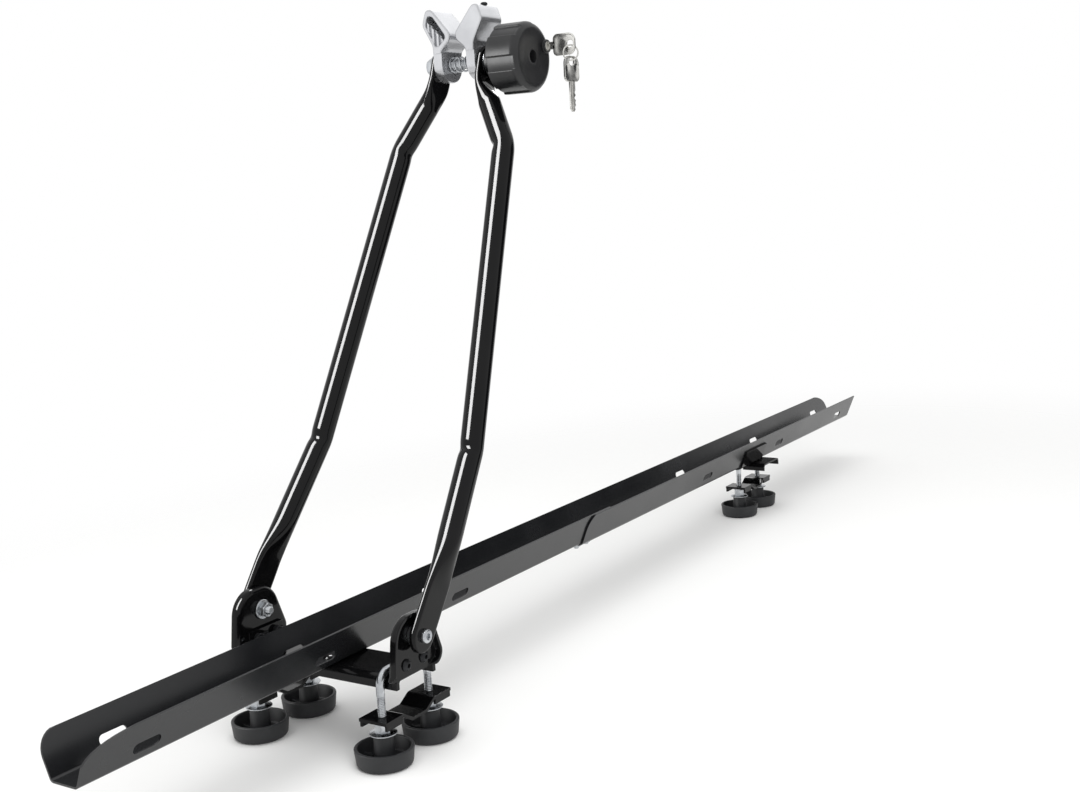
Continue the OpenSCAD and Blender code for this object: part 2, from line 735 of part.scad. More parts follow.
// Jaws
bulge_z = flat_w / 2 + 2.5;
jaw_side = [[saddle_half, 19], [saddle_half, 24], [tongue_out, jaw_rise], [tongue_out + 5.5, jaw_rise],
    [tongue_out + 9.5, 32], [tongue_out, bulge_z], [tongue_out, -tongue_r - past],
    [jaw_half, -tongue_r - past], [jaw_half, 11]];
jaw_pocket = [[saddle_half + 6, 22.5], [tongue_out - 0.5, jaw_rise - 7.5], [tongue_out + 3.5, jaw_rise - 6.5],
    [tongue_out + 6, 32], [tongue_out - 2, bulge_z], [jaw_half + 1, bulge_z]];
pocket_deep = 22;
rib_drop = 9;
rib_t = 1.5;
module jaw_ribs() {
    for (i = [0:3]) translate([saddle_half + 9 + 4 * i, 0]) square([rib_t, jaw_rise]);
}
module jaw(side) {
    difference() {
        intersection() {
            along_y(-jaw_depth / 2, jaw_depth / 2)
                polygon(round_outline(jaw_side, [1, 1.5, 2, 2.5, 5, 7, 0.5, 0.5, 4]));
            along_x(0, knob_back) {
                circle(r = tongue_r);
                translate([-tongue_r, 0]) square([2 * tongue_r, 14]);
                translate([-jaw_depth / 2, 9]) square([jaw_depth, jaw_rise]);
            }
        }
        along_y(jaw_depth / 2 - pocket_deep, jaw_depth / 2 + past) difference() {
            polygon(round_outline(jaw_pocket, [1, 1, 1.5, 2, 2, 1]));
            intersection() {
                jaw_ribs();
                translate([0, -rib_drop]) polygon(jaw_pocket);
            }
        }
        x_rod(jaw_half - past, tongue_out + past, 0, 0, spindle_d + 2 * spindle_play(side));
        if (side > 0) z_rod(tongue_out + 2.5, 0, jaw_rise - 12, jaw_rise + past, 3 + 2 * fit);
    }
}
module right_jaw() {
    color("#c6c7c9") translate([0, spindle_y, spindle_z]) jaw(1);
}
module left_jaw() {
    color("#c6c7c9") translate([0, spindle_y, spindle_z]) rotate([0, 0, 180]) jaw(-1);
}
module jaw_screw() {
    color("#2a2b2d") translate([tongue_out + 2.5, spindle_y, spindle_z + jaw_rise]) difference() {
        union() {
            z_rod(0, 0, -10, past, 3);
            z_rod(0, 0, 0, 2.2, 5.5);
        }
        translate([0, 0, 1.2]) cylinder(d = 2.6, h = 2, $fn = 6);
    }
}

// Jaw spring, one tube wound round the spindle
spring_end = jaw_half - run_gap;
spring_steps = 8;
spring_sides = 6;
coil_half = spring_end - wire_d;
function spring_point(i) = let(s = 360 * i / spring_steps)
    [-coil_half + 2 * coil_half * i / (spring_steps * curls), spring_r * cos(s), spring_r * sin(s)];
spring_path = concat([[-spring_end, spring_r, 0]],
    [for (i = [0:spring_steps * curls]) spring_point(i)], [[spring_end, spring_r, 0]]);
spring_count = len(spring_path);
function spring_tangent(i) = (i == 0 || i == spring_count - 1) ? [1, 0, 0]
    : unit(unit(spring_path[i + 1] - spring_path[i]) + unit(spring_path[i] - spring_path[i - 1]));
function spring_ring(i) =
    let(p = spring_path[i], t = spring_tangent(i), out = unit([0, p[1], p[2]]),
        e1 = unit(out - (out * t) * t), e2 = cross(t, e1))
    [for (k = [0:spring_sides - 1]) let(s = 360 * k / spring_sides)
        p + wire_d / 2 * (cos(s) * e1 + sin(s) * e2)];
spring_points = [for (i = [0:spring_count - 1]) each spring_ring(i)];
spring_skin = [for (i = [0:spring_count - 2], k = [0:spring_sides - 1])
    let(a = i * spring_sides + k, b = i * spring_sides + (k + 1) % spring_sides)
    each [[a, a + spring_sides, b], [b, a + spring_sides, b + spring_sides]]];
spring_last = (spring_count - 1) * spring_sides;
spring_caps = [for (k = [1:spring_sides - 2]) each [[0, k, k + 1],
    [spring_last, spring_last + k + 1, spring_last + k]]];
spring_gap = min([for (i = [0:spring_count - 1], j = [i + 5:1:spring_count - 1])
    norm(spring_path[i] - spring_path[j]) - wire_d]);
module jaw_spring() {
    echo(least_gap_of_the_spring_to_itself = spring_gap);
    color("#d5d6d8") translate([0, spindle_y, spindle_z])
        polyhedron(points = spring_points, faces = concat(spring_skin, spring_caps), convexity = 10);
}

// Spindle
module clamp_spindle() {
    color("#c9cbce") x_rod(-spindle_left, spindle_right, spindle_y, spindle_z, spindle_d);
}
module spindle_washer() {
    outer = flat_out + nut_seat;
    color("#c9cbce") difference() {
        x_rod(-outer - head_washer_t, -outer, spindle_y, spindle_z, head_washer_d);
        x_rod(-outer - head_washer_t - past, -outer + past, spindle_y, spindle_z, spindle_d + 2 * fit);
    }
}
module spindle_nut() {
    outer = flat_out + nut_seat + head_washer_t;
    color("#c9cbce") difference() {
        x_hex(-outer - spindle_nut_h, -outer, spindle_y, spindle_z, spindle_d + 5);
        x_rod(-outer - spindle_nut_h - past, -outer + past, spindle_y, spindle_z, spindle_d + 2 * fit);
    }
}

// Knob and lock
module knob_washer() {
    color("#c9cbce") difference() {
        x_rod(flat_out, flat_out + head_washer_t, spindle_y, spindle_z, head_washer_d);
        x_rod(flat_out - past, knob_back, spindle_y, spindle_z, spindle_d + 2 * run_gap);
    }
}
module knob() {
    r = knob_d / 2;
    edge = 6;
    web = 5;
    color("#242528") translate([0, spindle_y, spindle_z]) difference() {
        rotate([90, 0, 90]) rotate_extrude() polygon(concat(
            [[insert_d / 2 - past, knob_seat], [boss_d / 2, knob_seat], [boss_d / 2, knob_face - web],
                [r - knob_wall, knob_face - web], [r - knob_wall, knob_back], [r, knob_back]],
            [for (i = [0:6]) let(s = 90 * i / 6)
                [r - edge + edge * cos(s), knob_face - edge + edge * sin(s)]],
            [[insert_d / 2 - past, knob_face]]));
        for (i = [0:flutes - 1]) rotate([flute_turn - flute_span / 2 + 360 * i / flutes, 0, 0])
            rotate([90, 0, 90]) rotate_extrude(angle = flute_span)
            translate([r - flute_depth, knob_back - past])
            square([flute_depth + past, knob_face - knob_back + 2 * past]);
        x_rod(knob_seat - past, knob_seat + insert_len + fit, 0, 0, insert_d + 2 * fit);
        x_rod(plug_in - fit, knob_face + past, lock_y - spindle_y, lock_z - spindle_z, barrel_d + 2 * fit);
    }
    color("#242528") translate([0, spindle_y, spindle_z]) difference() {
        x_rod(knob_seat + insert_len + fit, knob_face, 0, 0, insert_d - past);
        x_rod(knob_seat, knob_face + past, 0, 0, spindle_d + 2);
    }
}
module knob_insert() {
    color("#b9a25c") difference() {
        x_rod(knob_seat, knob_seat + insert_len, spindle_y, spindle_z, insert_d);
        x_rod(knob_seat - past, knob_seat + insert_len + past, spindle_y, spindle_z,
            spindle_d + 2 * thread_gap);
    }
}
module lock_barrel() {
    color("#141416") difference() {
        union() {
            x_rod(plug_in, barrel_out, lock_y, lock_z, barrel_d);
        }
        x_rod(plug_in + 2, barrel_out + past, lock_y, lock_z, plug_d + 2 * fit);
    }
}
module lock_plug() {
    color("#b4b6b9") difference() {
        x_rod(plug_in + 2 + run_gap, barrel_out + 0.4, lock_y, lock_z, plug_d);
        translate([key_start - key_blade - fit, lock_y - key_t / 2 - fit, lock_z - key_blade_w / 2 - fit])
            cube([key_blade + past, key_t + 2 * fit, key_blade_w + 2 * fit]);
    }
}
module key_shape() {
    difference() {
        union() {
            polygon(round_outline([[0, key_head_h / 2], [0, -key_head_h / 2],
                [key_head_w, -key_head_h / 2], [key_head_w, key_head_h / 2]], [4, 4, 6, 6]));
            translate([-key_blade, -key_blade_w / 2]) square([key_blade + past, key_blade_w]);
        }
        translate([key_head_w - key_hole_in, 0]) circle(d = key_hole_d);
        for (i = [0:3]) translate([-key_blade + 3 + 4 * i, key_blade_w / 2 + 1 - 0.3 * (i % 2)]) rotate(45)
            square(2.4, center = true);
    }
}
module key() {
    color("#d8d9da") translate([key_start, 0, lock_z]) along_y(lock_y - key_t / 2, lock_y + key_t / 2)
        key_shape();
}
module key_ring() {
    color("#c2c4c6") translate([key_ring_x, lock_y, ring_z]) rotate([90, 0, ring_turn])
        rotate_extrude() translate([ring_r, 0]) circle(d = ring_wire);
}
module spare_key() {
    color("#d8d9da") translate([key_ring_x, lock_y, spare_hole_z]) rotate([0, 0, spare_turn])
        rotate([0, -90, 0]) translate([-key_head_w + key_hole_in, 0, -key_t / 2])
        linear_extrude(key_t) key_shape();
}

front_tray();
rear_tray();
splice_bolts();
splice_nuts();
tray_rivets();
base_plate();
left_ear();
right_ear();
ear_bolts();
ear_nuts();
rear_saddle();
front_left_u_bolt();
front_right_u_bolt();
rear_u_bolt();
pivot_bolts();
pivot_washers();
pivot_nuts();
clamp_plate(-clamp_x, 0);  // front_left_clamp_plate
clamp_plate(clamp_x, 0);  // front_right_clamp_plate
clamp_plate(0, bar_spacing);  // rear_clamp_plate
clamp_washers(-clamp_x, 0);  // front_left_washers
clamp_washers(clamp_x, 0);  // front_right_washers
clamp_washers(0, bar_spacing);  // rear_washers
hand_nut(-clamp_x, -leg_half);  // front_left_hand_nut_a
hand_nut(-clamp_x, leg_half);  // front_left_hand_nut_b
hand_nut(clamp_x, -leg_half);  // front_right_hand_nut_a
hand_nut(clamp_x, leg_half);  // front_right_hand_nut_b
hand_nut(0, bar_spacing - leg_half);  // rear_hand_nut_a
hand_nut(0, bar_spacing + leg_half);  // rear_hand_nut_b
nut_insert(-clamp_x, -leg_half);  // front_left_insert_a
nut_insert(-clamp_x, leg_half);  // front_left_insert_b
nut_insert(clamp_x, -leg_half);  // front_right_insert_a
nut_insert(clamp_x, leg_half);  // front_right_insert_b
nut_insert(0, bar_spacing - leg_half);  // rear_insert_a
nut_insert(0, bar_spacing + leg_half);  // rear_insert_b
left_tube();
right_tube();
left_jaw();
right_jaw();
jaw_screw();
jaw_spring();
clamp_spindle();
spindle_washer();
spindle_nut();
knob_washer();
knob();
knob_insert();
lock_barrel();
lock_plug();
key();
key_ring();
spare_key();
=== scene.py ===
import json
import math

import bmesh
import bpy
import numpy as np
from mathutils import Matrix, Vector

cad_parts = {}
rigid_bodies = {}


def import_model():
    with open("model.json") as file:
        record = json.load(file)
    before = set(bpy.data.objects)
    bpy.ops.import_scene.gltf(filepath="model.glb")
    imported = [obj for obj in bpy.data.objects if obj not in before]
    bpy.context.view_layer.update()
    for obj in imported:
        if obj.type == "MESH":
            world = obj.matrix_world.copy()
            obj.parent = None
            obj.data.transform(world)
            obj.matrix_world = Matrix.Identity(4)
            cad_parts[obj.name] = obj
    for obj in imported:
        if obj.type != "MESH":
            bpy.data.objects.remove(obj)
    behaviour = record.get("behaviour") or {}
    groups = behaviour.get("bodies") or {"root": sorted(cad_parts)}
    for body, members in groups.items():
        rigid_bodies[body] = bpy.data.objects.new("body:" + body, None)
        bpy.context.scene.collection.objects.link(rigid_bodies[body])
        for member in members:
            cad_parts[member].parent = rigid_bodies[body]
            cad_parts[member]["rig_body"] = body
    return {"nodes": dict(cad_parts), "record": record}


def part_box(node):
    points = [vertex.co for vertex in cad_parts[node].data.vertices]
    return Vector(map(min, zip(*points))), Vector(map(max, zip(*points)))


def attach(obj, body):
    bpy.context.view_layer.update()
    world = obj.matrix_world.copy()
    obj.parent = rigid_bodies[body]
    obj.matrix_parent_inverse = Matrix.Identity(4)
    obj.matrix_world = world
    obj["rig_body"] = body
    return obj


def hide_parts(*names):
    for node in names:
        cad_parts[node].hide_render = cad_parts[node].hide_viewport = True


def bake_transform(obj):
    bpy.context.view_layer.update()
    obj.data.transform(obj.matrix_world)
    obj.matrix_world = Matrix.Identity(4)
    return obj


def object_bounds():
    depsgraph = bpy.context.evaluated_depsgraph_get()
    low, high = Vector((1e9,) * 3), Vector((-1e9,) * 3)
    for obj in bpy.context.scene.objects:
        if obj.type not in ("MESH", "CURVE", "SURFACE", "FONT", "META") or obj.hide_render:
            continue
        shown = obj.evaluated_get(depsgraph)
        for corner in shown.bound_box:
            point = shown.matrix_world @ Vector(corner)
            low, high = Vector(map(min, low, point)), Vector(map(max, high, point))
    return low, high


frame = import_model()
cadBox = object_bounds()
nodes = frame["nodes"]
scene = bpy.context.scene
mm = 0.001  # shapes below are worked out in millimetres
nodeSlot = {row["node"]: row["material_slot"] for row in frame["record"]["subparts"]}
print("frame:", len(nodes), "CAD nodes loaded")


# objects and their places
def addObject(name, data):
    obj = bpy.data.objects.new(name, data)
    scene.collection.objects.link(obj)
    return obj


def axesAt(right, up, back, place):
    # a frame from its three axes and its place
    turn = np.eye(4)
    turn[:3] = np.stack([right, up, back, place], 1)
    return turn


# camera at the photograph's viewing angle
cameraSet = {
    "lens": 45.22,
    "sensor": 36.0,
    "near": 0.01,
    "place": (0.64612, -0.72326, 0.33429),
    "right": (0.84663, 0.52979, -0.05035),
    "up": (-0.03843, 0.15523, 0.98714),
    "back": (0.53079, -0.83380, 0.15178),
}


def makeCamera(c):
    data = bpy.data.cameras.new("photoCamera")
    data.sensor_fit = "HORIZONTAL"
    data.sensor_width = c["sensor"]
    data.lens = c["lens"]
    data.clip_start = c["near"]
    scene.camera = addObject("photoCamera", data)
    scene.camera.matrix_world = Matrix(axesAt(c["right"], c["up"], c["back"], c["place"]).tolist())


makeCamera(cameraSet)


# finishes
def linear(hexText):
    # sRGB hex to linear light
    v = np.array([int(hexText[i : i + 2], 16) for i in (1, 3, 5)]) / 255
    v = np.where(v <= 0.04045, v / 12.92, ((v + 0.055) / 1.055) ** 2.4)
    return (float(v[0]), float(v[1]), float(v[2]), 1.0)


def freshTree(owner):
    # the emptied node tree of a material or a world
    owner.use_nodes = True
    owner.node_tree.nodes.clear()
    return owner.node_tree


def addNode(tree, kind, settings=None, links=None):
    # one node: settings go to its sockets or its own properties, links name a source node and socket
    node = tree.nodes.new("ShaderNode" + kind)
    for key, value in (settings or {}).items():
        if isinstance(key, int) or key in node.inputs:
            node.inputs[key].default_value = value
        else:
            setattr(node, key, value)
    for key, (source, out) in (links or {}).items():
        tree.links.new(source.outputs[out], node.inputs[key])
    return node


# patch and grain are the sizes of the two noises and depth the height of the bump, all in millimetres
finishSets = {
    # black polyester powder coat: satin, a fine even peel, slightly cloudy
    "tray_coat": dict(name="satinPowderCoat", tones=("#121315", "#191a1c"), rough=(0.2, 0.28), grain=1.8,
                      depth=0.010, patch=60, specular=0.5),
    # black stoving enamel on steel tube: hard gloss, long shallow ripple
    "frame_coat": dict(name="glossStovingEnamel", tones=("#060607", "#0b0b0c"), rough=(0.06, 0.11), grain=8.0,
                       depth=0.004, patch=45, specular=0.2),
    # bright zinc plate: cool grey metal, a fine grain and a faint cloud
    "zinc": dict(name="brightZincPlate", tones=("#a4a7ab", "#c6c9cc"), rough=(0.2, 0.34), grain=0.9,
                 depth=0.004, patch=9, metallic=1.0),
    # moulded nylon: matt, spark-eroded grain drawn at 0.7 mm so that it shows
    "cup_plastic": dict(name="mouldedNylon", tones=("#1d1e20", "#27282a"), rough=(0.5, 0.62), grain=0.7,
                        depth=0.02, patch=18, specular=0.45),
    # moulded ABS: dark grey satin, smoother than the cups
    "knob_plastic": dict(name="satinAbs", tones=("#131415", "#19191b"), rough=(0.3, 0.4), grain=0.6,
                         depth=0.010, patch=22, specular=0.5),
    # tumbled zinc die casting, bright lacquer: pale silver with soft casting ripple, not quite a mirror
    "jaw_metal": dict(name="brightDieCasting", tones=("#b6b7ba", "#c6c7ca"), rough=(0.2, 0.28), grain=1.4,
                      depth=0.006, patch=30, metallic=0.8),
    # nickel plated brass: warm white metal with a fine polishing grain
    "key_metal": dict(name="nickelPlate", tones=("#bdbcb8", "#d6d5d1"), rough=(0.16, 0.28), grain=0.8,
                      depth=0.004, patch=7, metallic=1.0),
    # moulded acetal: near black, half gloss
    "lock_body": dict(name="blackAcetal", tones=("#0f0f11", "#161618"), rough=(0.26, 0.36), grain=0.8,
                      depth=0.006, patch=8, specular=0.5),
    # turned brass: yellow metal with a fine tool grain
    "insert_brass": dict(name="turnedBrass", tones=("#b0924a", "#c9ad66"), rough=(0.24, 0.36), grain=0.8,
                         depth=0.004, patch=6, metallic=1.0),
    # black oxide on steel: dark, dry metal
    "dark_screw": dict(name="blackOxideSteel", tones=("#242527", "#323335"), rough=(0.38, 0.5), grain=0.6,
                       depth=0.006, patch=5, metallic=0.8),
}
toneSpan, roughSpan = (0.35, 0.65), (0.3, 0.7)  # noise values between which tone and roughness change


def makeFinish(s):
    # broad noise clouds the tone and the roughness, fine noise lifts the bump
    material = bpy.data.materials.new(s["name"])
    tree = freshTree(material)
    where = {"Vector": (addNode(tree, "TexCoord"), "Object")}
    cloud = addNode(tree, "TexNoise", {"Scale": 1000 / s["patch"], "Detail": 3.0}, where)
    grain = addNode(tree, "TexNoise",
                    {"Scale": 1000 / s["grain"], "Detail": 3.0, "Roughness": 0.55}, where)
    tone = addNode(tree, "ValToRGB", {}, {"Fac": (cloud, "Fac")})
    for end, place, hexText in zip(tone.color_ramp.elements, toneSpan, s["tones"]):
        end.position = place
        end.color = linear(hexText)
    rough = addNode(tree, "MapRange", {"From Min": roughSpan[0], "From Max": roughSpan[1],
                    "To Min": s["rough"][0], "To Max": s["rough"][1]}, {"Value": (cloud, "Fac")})
    bump = addNode(tree, "Bump", {"Strength": 1.0, "Distance": s["depth"] * mm},
                   {"Height": (grain, "Fac")})
    skin = addNode(tree, "BsdfPrincipled",
                   {"Metallic": s.get("metallic", 0.0), "Specular IOR Level": s.get("specular", 0.5)},
                   {"Base Color": (tone, "Color"), "Roughness": (rough, "Result"),
                    "Normal": (bump, "Normal")})
    addNode(tree, "OutputMaterial", {}, {"Surface": (skin, "BSDF")})
    return material


finishes = {slotName: makeFinish(s) for slotName, s in finishSets.items()}
print("finishes:", len(finishes))


# shapes on grids
leastTurn = 1e-4  # radians below which a corner counts as straight
weldGap = 1e-6  # metres within which points become one


def unit(v):
    v = np.asarray(v, float)
    return v / np.linalg.norm(v, axis=-1, keepdims=True)


def smooth(t):
    # eased step from 0 to 1
    t = np.clip(t, 0, 1)
    return t * t * (3 - 2 * t)


def fullTurn(columns):
    # angles once round, the last on top of the first
    return np.linspace(0, 2 * math.pi, columns + 1)


def quarter(count):
    # angles up to a right angle
    return np.linspace(0, math.pi / 2, count)


def looped(rows):
    # rows that end on the first one again
    return np.concatenate([rows, rows[:1]])


def outward(ring):
    # normals of a closed outline that runs clockwise
    t = unit(np.roll(ring[:-1], -1, 0) - np.roll(ring[:-1], 1, 0))
    return looped(np.stack([-t[:, 1], t[:, 0]], -1))


def softCorners(points, radii, steps=6, ring=False):
    # a broken line, in the plane or in space, whose corners become arcs of their own radius
    p = np.asarray(points, float)
    if ring:
        p = np.concatenate([p[-1:], p, p[:1]])
    rows = [] if ring else [p[:1]]
    k = np.linspace(0, 1, steps + 1)[:, None]
    for a, b, c, r in zip(p[:-2], p[1:-1], p[2:], radii):
        u, v = unit(a - b), unit(c - b)
        half = math.acos(np.clip(u @ v, -1, 1)) / 2
        sweep = math.pi - 2 * half
        if r <= 0 or sweep < leastTurn:
            rows.append(b[None])
            continue
        centre = b + unit(u + v) * r / math.sin(half)
        first, last = (unit(b + w * r / math.tan(half) - centre) for w in (u, v))
        arc = np.sin((1 - k) * sweep) * first + np.sin(k * sweep) * last
        rows.append(centre + r * arc / math.sin(sweep))
    return np.concatenate(rows if ring else rows + [p[-1:]])


def runLength(path):
    # distance of each point along a broken line
    return np.r_[0, np.cumsum(np.linalg.norm(np.diff(path, axis=0), axis=1))]


def alongLine(path, stations=None, count=None):
    # points at given distances along a broken line, or at even ones
    d = runLength(path)
    at = np.linspace(0, d[-1], count) if stations is None else stations
    return np.stack([np.interp(at, d, path[:, k]) for k in range(path.shape[1])], -1)


def hexRadius(apothem, ang, phase):
    # distance from the middle of a hexagon to its edge at each angle
    return apothem / np.cos(np.mod(ang + phase, math.pi / 3) - math.pi / 6)


def hexPhase(axis):
    # hexagons round the x axis are turned by half a side
    return math.pi / 6 if axis == "x" else 0.0


def threadCut(height, ang, pitch):
    # 0 on the crest and 1 in the root of a V thread that climbs one pitch a turn
    return 1 - np.abs(2 * np.mod(height / pitch - ang / (2 * math.pi), 1) - 1)


def roundAxis(r, h, ang, centre, axis, flip=1):
    # radius and height at each angle, set round the x or the z axis through centre
    a, b = r * np.cos(ang), r * np.sin(ang)
    x, y, z = centre
    if axis == "x":
        return np.stack([x + flip * h, y + a, z + b], -1)
    return np.stack([x + a, y + b, z + flip * h], -1)


def turned(profile, centre, axis="z", flip=1, columns=56, hexRows=None, thread=None, radial=None):
    # a profile of (radius, height) carried round an axis; some rows may be hexagons or carry a thread
    p = np.asarray(profile, float)
    ang = fullTurn(columns)
    r, h = (np.repeat(p[:, k : k + 1], columns + 1, 1) for k in (0, 1))
    if hexRows is not None:
        r = np.where(np.asarray(hexRows, bool)[:, None], r * hexRadius(1.0, ang, hexPhase(axis)), r)
    if thread is not None:
        low, high, pitch, depth = thread
        inside = smooth((h - low) / pitch) * smooth((high - h) / pitch)
        r = r - depth * inside * threadCut(h, ang, pitch)
    if radial is not None:
        r = r + radial(h, ang)
    return roundAxis(r, h, ang, centre, axis, flip)


def swept(path, side, section):
    # section points set across a path, first along side and then square to side and path
    t = unit(np.gradient(path, axis=0))
    n = np.broadcast_to(np.asarray(side, float), t.shape)
    n = unit(n - np.sum(n * t, -1, keepdims=True) * t)
    b = np.cross(t, n)
    return path[:, None] + section[..., :1] * n[:, None] + section[..., 1:] * b[:, None]


def wireSection(rows, columns, across, along):
    # the same oval at every row of a path
    ang = fullTurn(columns)
    oval = np.stack([across * np.cos(ang), along * np.sin(ang)], -1)
    return np.broadcast_to(oval, (rows, columns + 1, 2))


def closedEnds(grid):
    # both end sections drawn to a point in their middle
    ends = [np.repeat(row[None].mean(1, keepdims=True), grid.shape[1], 1) for row in (grid[0], grid[-1])]
    return np.concatenate([ends[0], grid, ends[1]])


def weld(mesh, flatten=None):
    # seams and poles closed, faces turned outwards
    bm = bmesh.new()
    bm.from_mesh(mesh)
    bmesh.ops.remove_doubles(bm, verts=bm.verts, dist=weldGap)
    bmesh.ops.dissolve_degenerate(bm, dist=weldGap, edges=bm.edges)
    if flatten:
        bmesh.ops.dissolve_limit(bm, angle_limit=flatten, verts=bm.verts, edges=bm.edges)
    bmesh.ops.recalc_face_normals(bm, faces=bm.faces)
    bm.to_mesh(mesh)
    bm.free()
    mesh.polygons.foreach_set("use_smooth", np.ones(len(mesh.polygons), bool))


def standFor(obj, *names, rides=True, slotName=None):
    # takes the body of the CAD node that it replaces, and its slot and finish unless another is named
    slotName = slotName or nodeSlot[names[0]]
    obj.data.materials.clear()
    obj.data.materials.append(finishes[slotName])
    if rides:
        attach(obj, nodes[names[0]]["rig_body"])
    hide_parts(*names)
    return obj


def plainMesh(name, grids, sharp=34):
    # grids of points in millimetres, joined into one mesh; edges sharper than sharp degrees stay crisp
    points, faces, base = [], [], 0
    for g in grids:
        rows, cols = g.shape[:2]
        i, j = np.meshgrid(np.arange(rows - 1), np.arange(cols - 1), indexing="ij")
        first = (i * cols + j).ravel() + base
        faces.append(np.stack([first, first + 1, first + cols + 1, first + cols], -1))
        points.append(g.reshape(-1, 3) * mm)
        base += rows * cols
    mesh = bpy.data.meshes.new(name)
    mesh.from_pydata(np.concatenate(points).tolist(), [], np.concatenate(faces).tolist())
    weld(mesh)
    mesh.set_sharp_from_angle(angle=math.radians(sharp))
    return addObject(name, mesh)


def makePiece(node, making, grids, sharp=34, **how):
    # a mesh from grids in the place of a CAD node, named for how the piece is made
    return standFor(plainMesh(f"{node}_{making}", grids, sharp), node, **how)


def boxOf(node):
    # corners of a CAD node in millimetres
    low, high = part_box(node)
    return np.array(low) / mm, np.array(high) / mm


clampPlaces = ("front_left", "front_right", "rear")


# pressed and cast pieces: the CAD solid with its edges broken
softSets = {
    "front_tray": dict(edge=0.35, steps=2),
    "rear_tray": dict(edge=0.35, steps=2),
    "rear_saddle": dict(edge=0.4, steps=2, slot="frame_coat"),
    "base_plate": dict(edge=0.6, steps=3),
    "lock_plug": dict(edge=0.2, steps=2),
    **{place + "_clamp_plate": dict(edge=0.5, steps=2) for place in clampPlaces},
}
facetAngle, edgeAngle = 0.6, 38  # degrees up to which facets join and from which edges are broken


def softenedCopy(node, s):
    # a merged copy of the CAD mesh under a small bevel
    mesh = nodes[node].data.copy()
    mesh.name = node + "_soft"
    weld(mesh, flatten=math.radians(facetAngle))
    obj = addObject(node + "_soft", mesh)
    bevel = obj.modifiers.new("brokenEdges", "BEVEL")
    bevel.width = s["edge"] * mm
    bevel.segments = s["steps"]
    bevel.limit_method = "ANGLE"
    bevel.angle_limit = math.radians(edgeAngle)
    bevel.miter_outer = "MITER_ARC"
    obj.modifiers.new("faceNormals", "WEIGHTED_NORMAL")
    return standFor(obj, node, slotName=s.get("slot"))


for node, s in softSets.items():
    softenedCopy(node, s)
print("pressed and cast pieces:", len(softSets))


# frame tubes
tubeForm = dict(
    radius=9.0, thin=2.5, wide=12.5, lowFlat=41.0, topFlat=20.0, lowPress=44.0, lowLead=10.0, topPress=17.0,
    lowBend=(73, 79, 145), topBend=(50, 179, 369), head=(22.5, 203, 436), pivot=(-4, 30),
    seats={"left_tube": (-1, 84.3), "right_tube": (1, 83.1)}, bendRadii=(70.0, 36.0, 36.0, 34.0),
    creased=(2, 3), dent=1.5, dentRun=4.5, dentFade=1.5, bendRun=12.0, bendRows=33, tipRows=16, columns=48,
    rows=300,
)


def tubePath(pivotX, f):
    # the corners of the bent line, their distances along it, and rows that close up at both ends and bends
    flatWay = lambda a, b: unit([0, *(b - a)[1:]])
    pivot, low, top, head = (np.array(p, float) for p in
                             ((pivotX, *f["pivot"]), f["lowBend"], f["topBend"], f["head"]))
    lowWay, topWay = flatWay(pivot, low), flatWay(head, top)
    corners = np.array([pivot - f["wide"] * lowWay, pivot + f["lowFlat"] * lowWay, low, top,
                        head + f["topFlat"] * topWay, head - f["wide"] * topWay])
    line = softCorners(corners, f["bendRadii"], steps=10)
    d = runLength(line)
    at = [d[np.argmin(np.linalg.norm(line - c, axis=1))] for c in corners]
    tip = f["wide"] * (1 - np.cos(quarter(f["tipRows"])))
    bends = [at[k] + np.linspace(-f["bendRun"], f["bendRun"], f["bendRows"]) for k in f["creased"]]
    s = np.unique(np.concatenate([np.linspace(0, d[-1], f["rows"]), tip, d[-1] - tip, *bends]))
    return corners, at, s, alongLine(line, s)


def tubeSections(flat, wide, f):
    # a circle eased by the share flat into a stadium of half width wide, counted in four sides
    u = np.linspace(0, 1, f["columns"] + 1) * 4
    q = np.minimum(u.astype(int), 3)  # sides 0 and 2 are flat faces, 1 and 3 are round edges
    k = u - q
    ang = (u - 0.5) * math.pi / 2
    thin, run = f["thin"], np.maximum(wide - f["thin"], 0)
    edge = np.minimum(wide / thin, 1) * thin
    pick, bow, lift = [q == 0, q == 1, q == 2], thin * np.cos(math.pi * k), edge * np.sin(math.pi * k)
    across = np.select(pick, [thin + 0 * k, bow, -thin + 0 * k], -bow)
    along = np.select(pick, [run * (2 * k - 1), run + lift, run * (1 - 2 * k)], -run - lift)
    w = flat[:, None]
    r = (1 - w) * f["radius"]
    return np.stack([r * np.cos(ang) + w * across, r * np.sin(ang) + w * along], -1)


def tubeGrid(side, pivotX, f):
    # a section that eases from a flattened stadium to a circle and back, carried along the bent path
    corners, at, s, path = tubePath(pivotX, f)
    flat = np.maximum(1 - smooth((s - at[1] + f["lowLead"]) / f["lowPress"]),
                      np.clip((s - at[4] + f["topPress"]) / f["topPress"], 0, 1))
    reach = np.minimum(np.minimum(s, s[-1] - s), f["wide"])  # each end is rounded off
    wide = np.sqrt(np.maximum(f["wide"] ** 2 - (f["wide"] - reach) ** 2, 0))[:, None]
    grid = swept(path, (1, 0, 0), tubeSections(flat, wide, f))
    out = unit(grid - path[:, None] + 1e-9)
    for k in f["creased"]:  # the crease that the bending tool leaves inside each bend
        inner = unit(unit(corners[k + 1] - corners[k]) - unit(corners[k] - corners[k - 1]))
        toward = np.clip(out @ inner, 0, 1) ** f["dentFade"]
        near = np.exp(-(((s - at[k]) / f["dentRun"]) ** 2))[:, None]
        grid = grid - out * (f["dent"] * toward * near)[..., None]
    return grid * np.array([side, 1, 1])


for name, (side, seat) in tubeForm["seats"].items():
    makePiece(name, "bent", [tubeGrid(side, seat - tubeForm["thin"], tubeForm)], sharp=50)
print("frame tubes: 2")


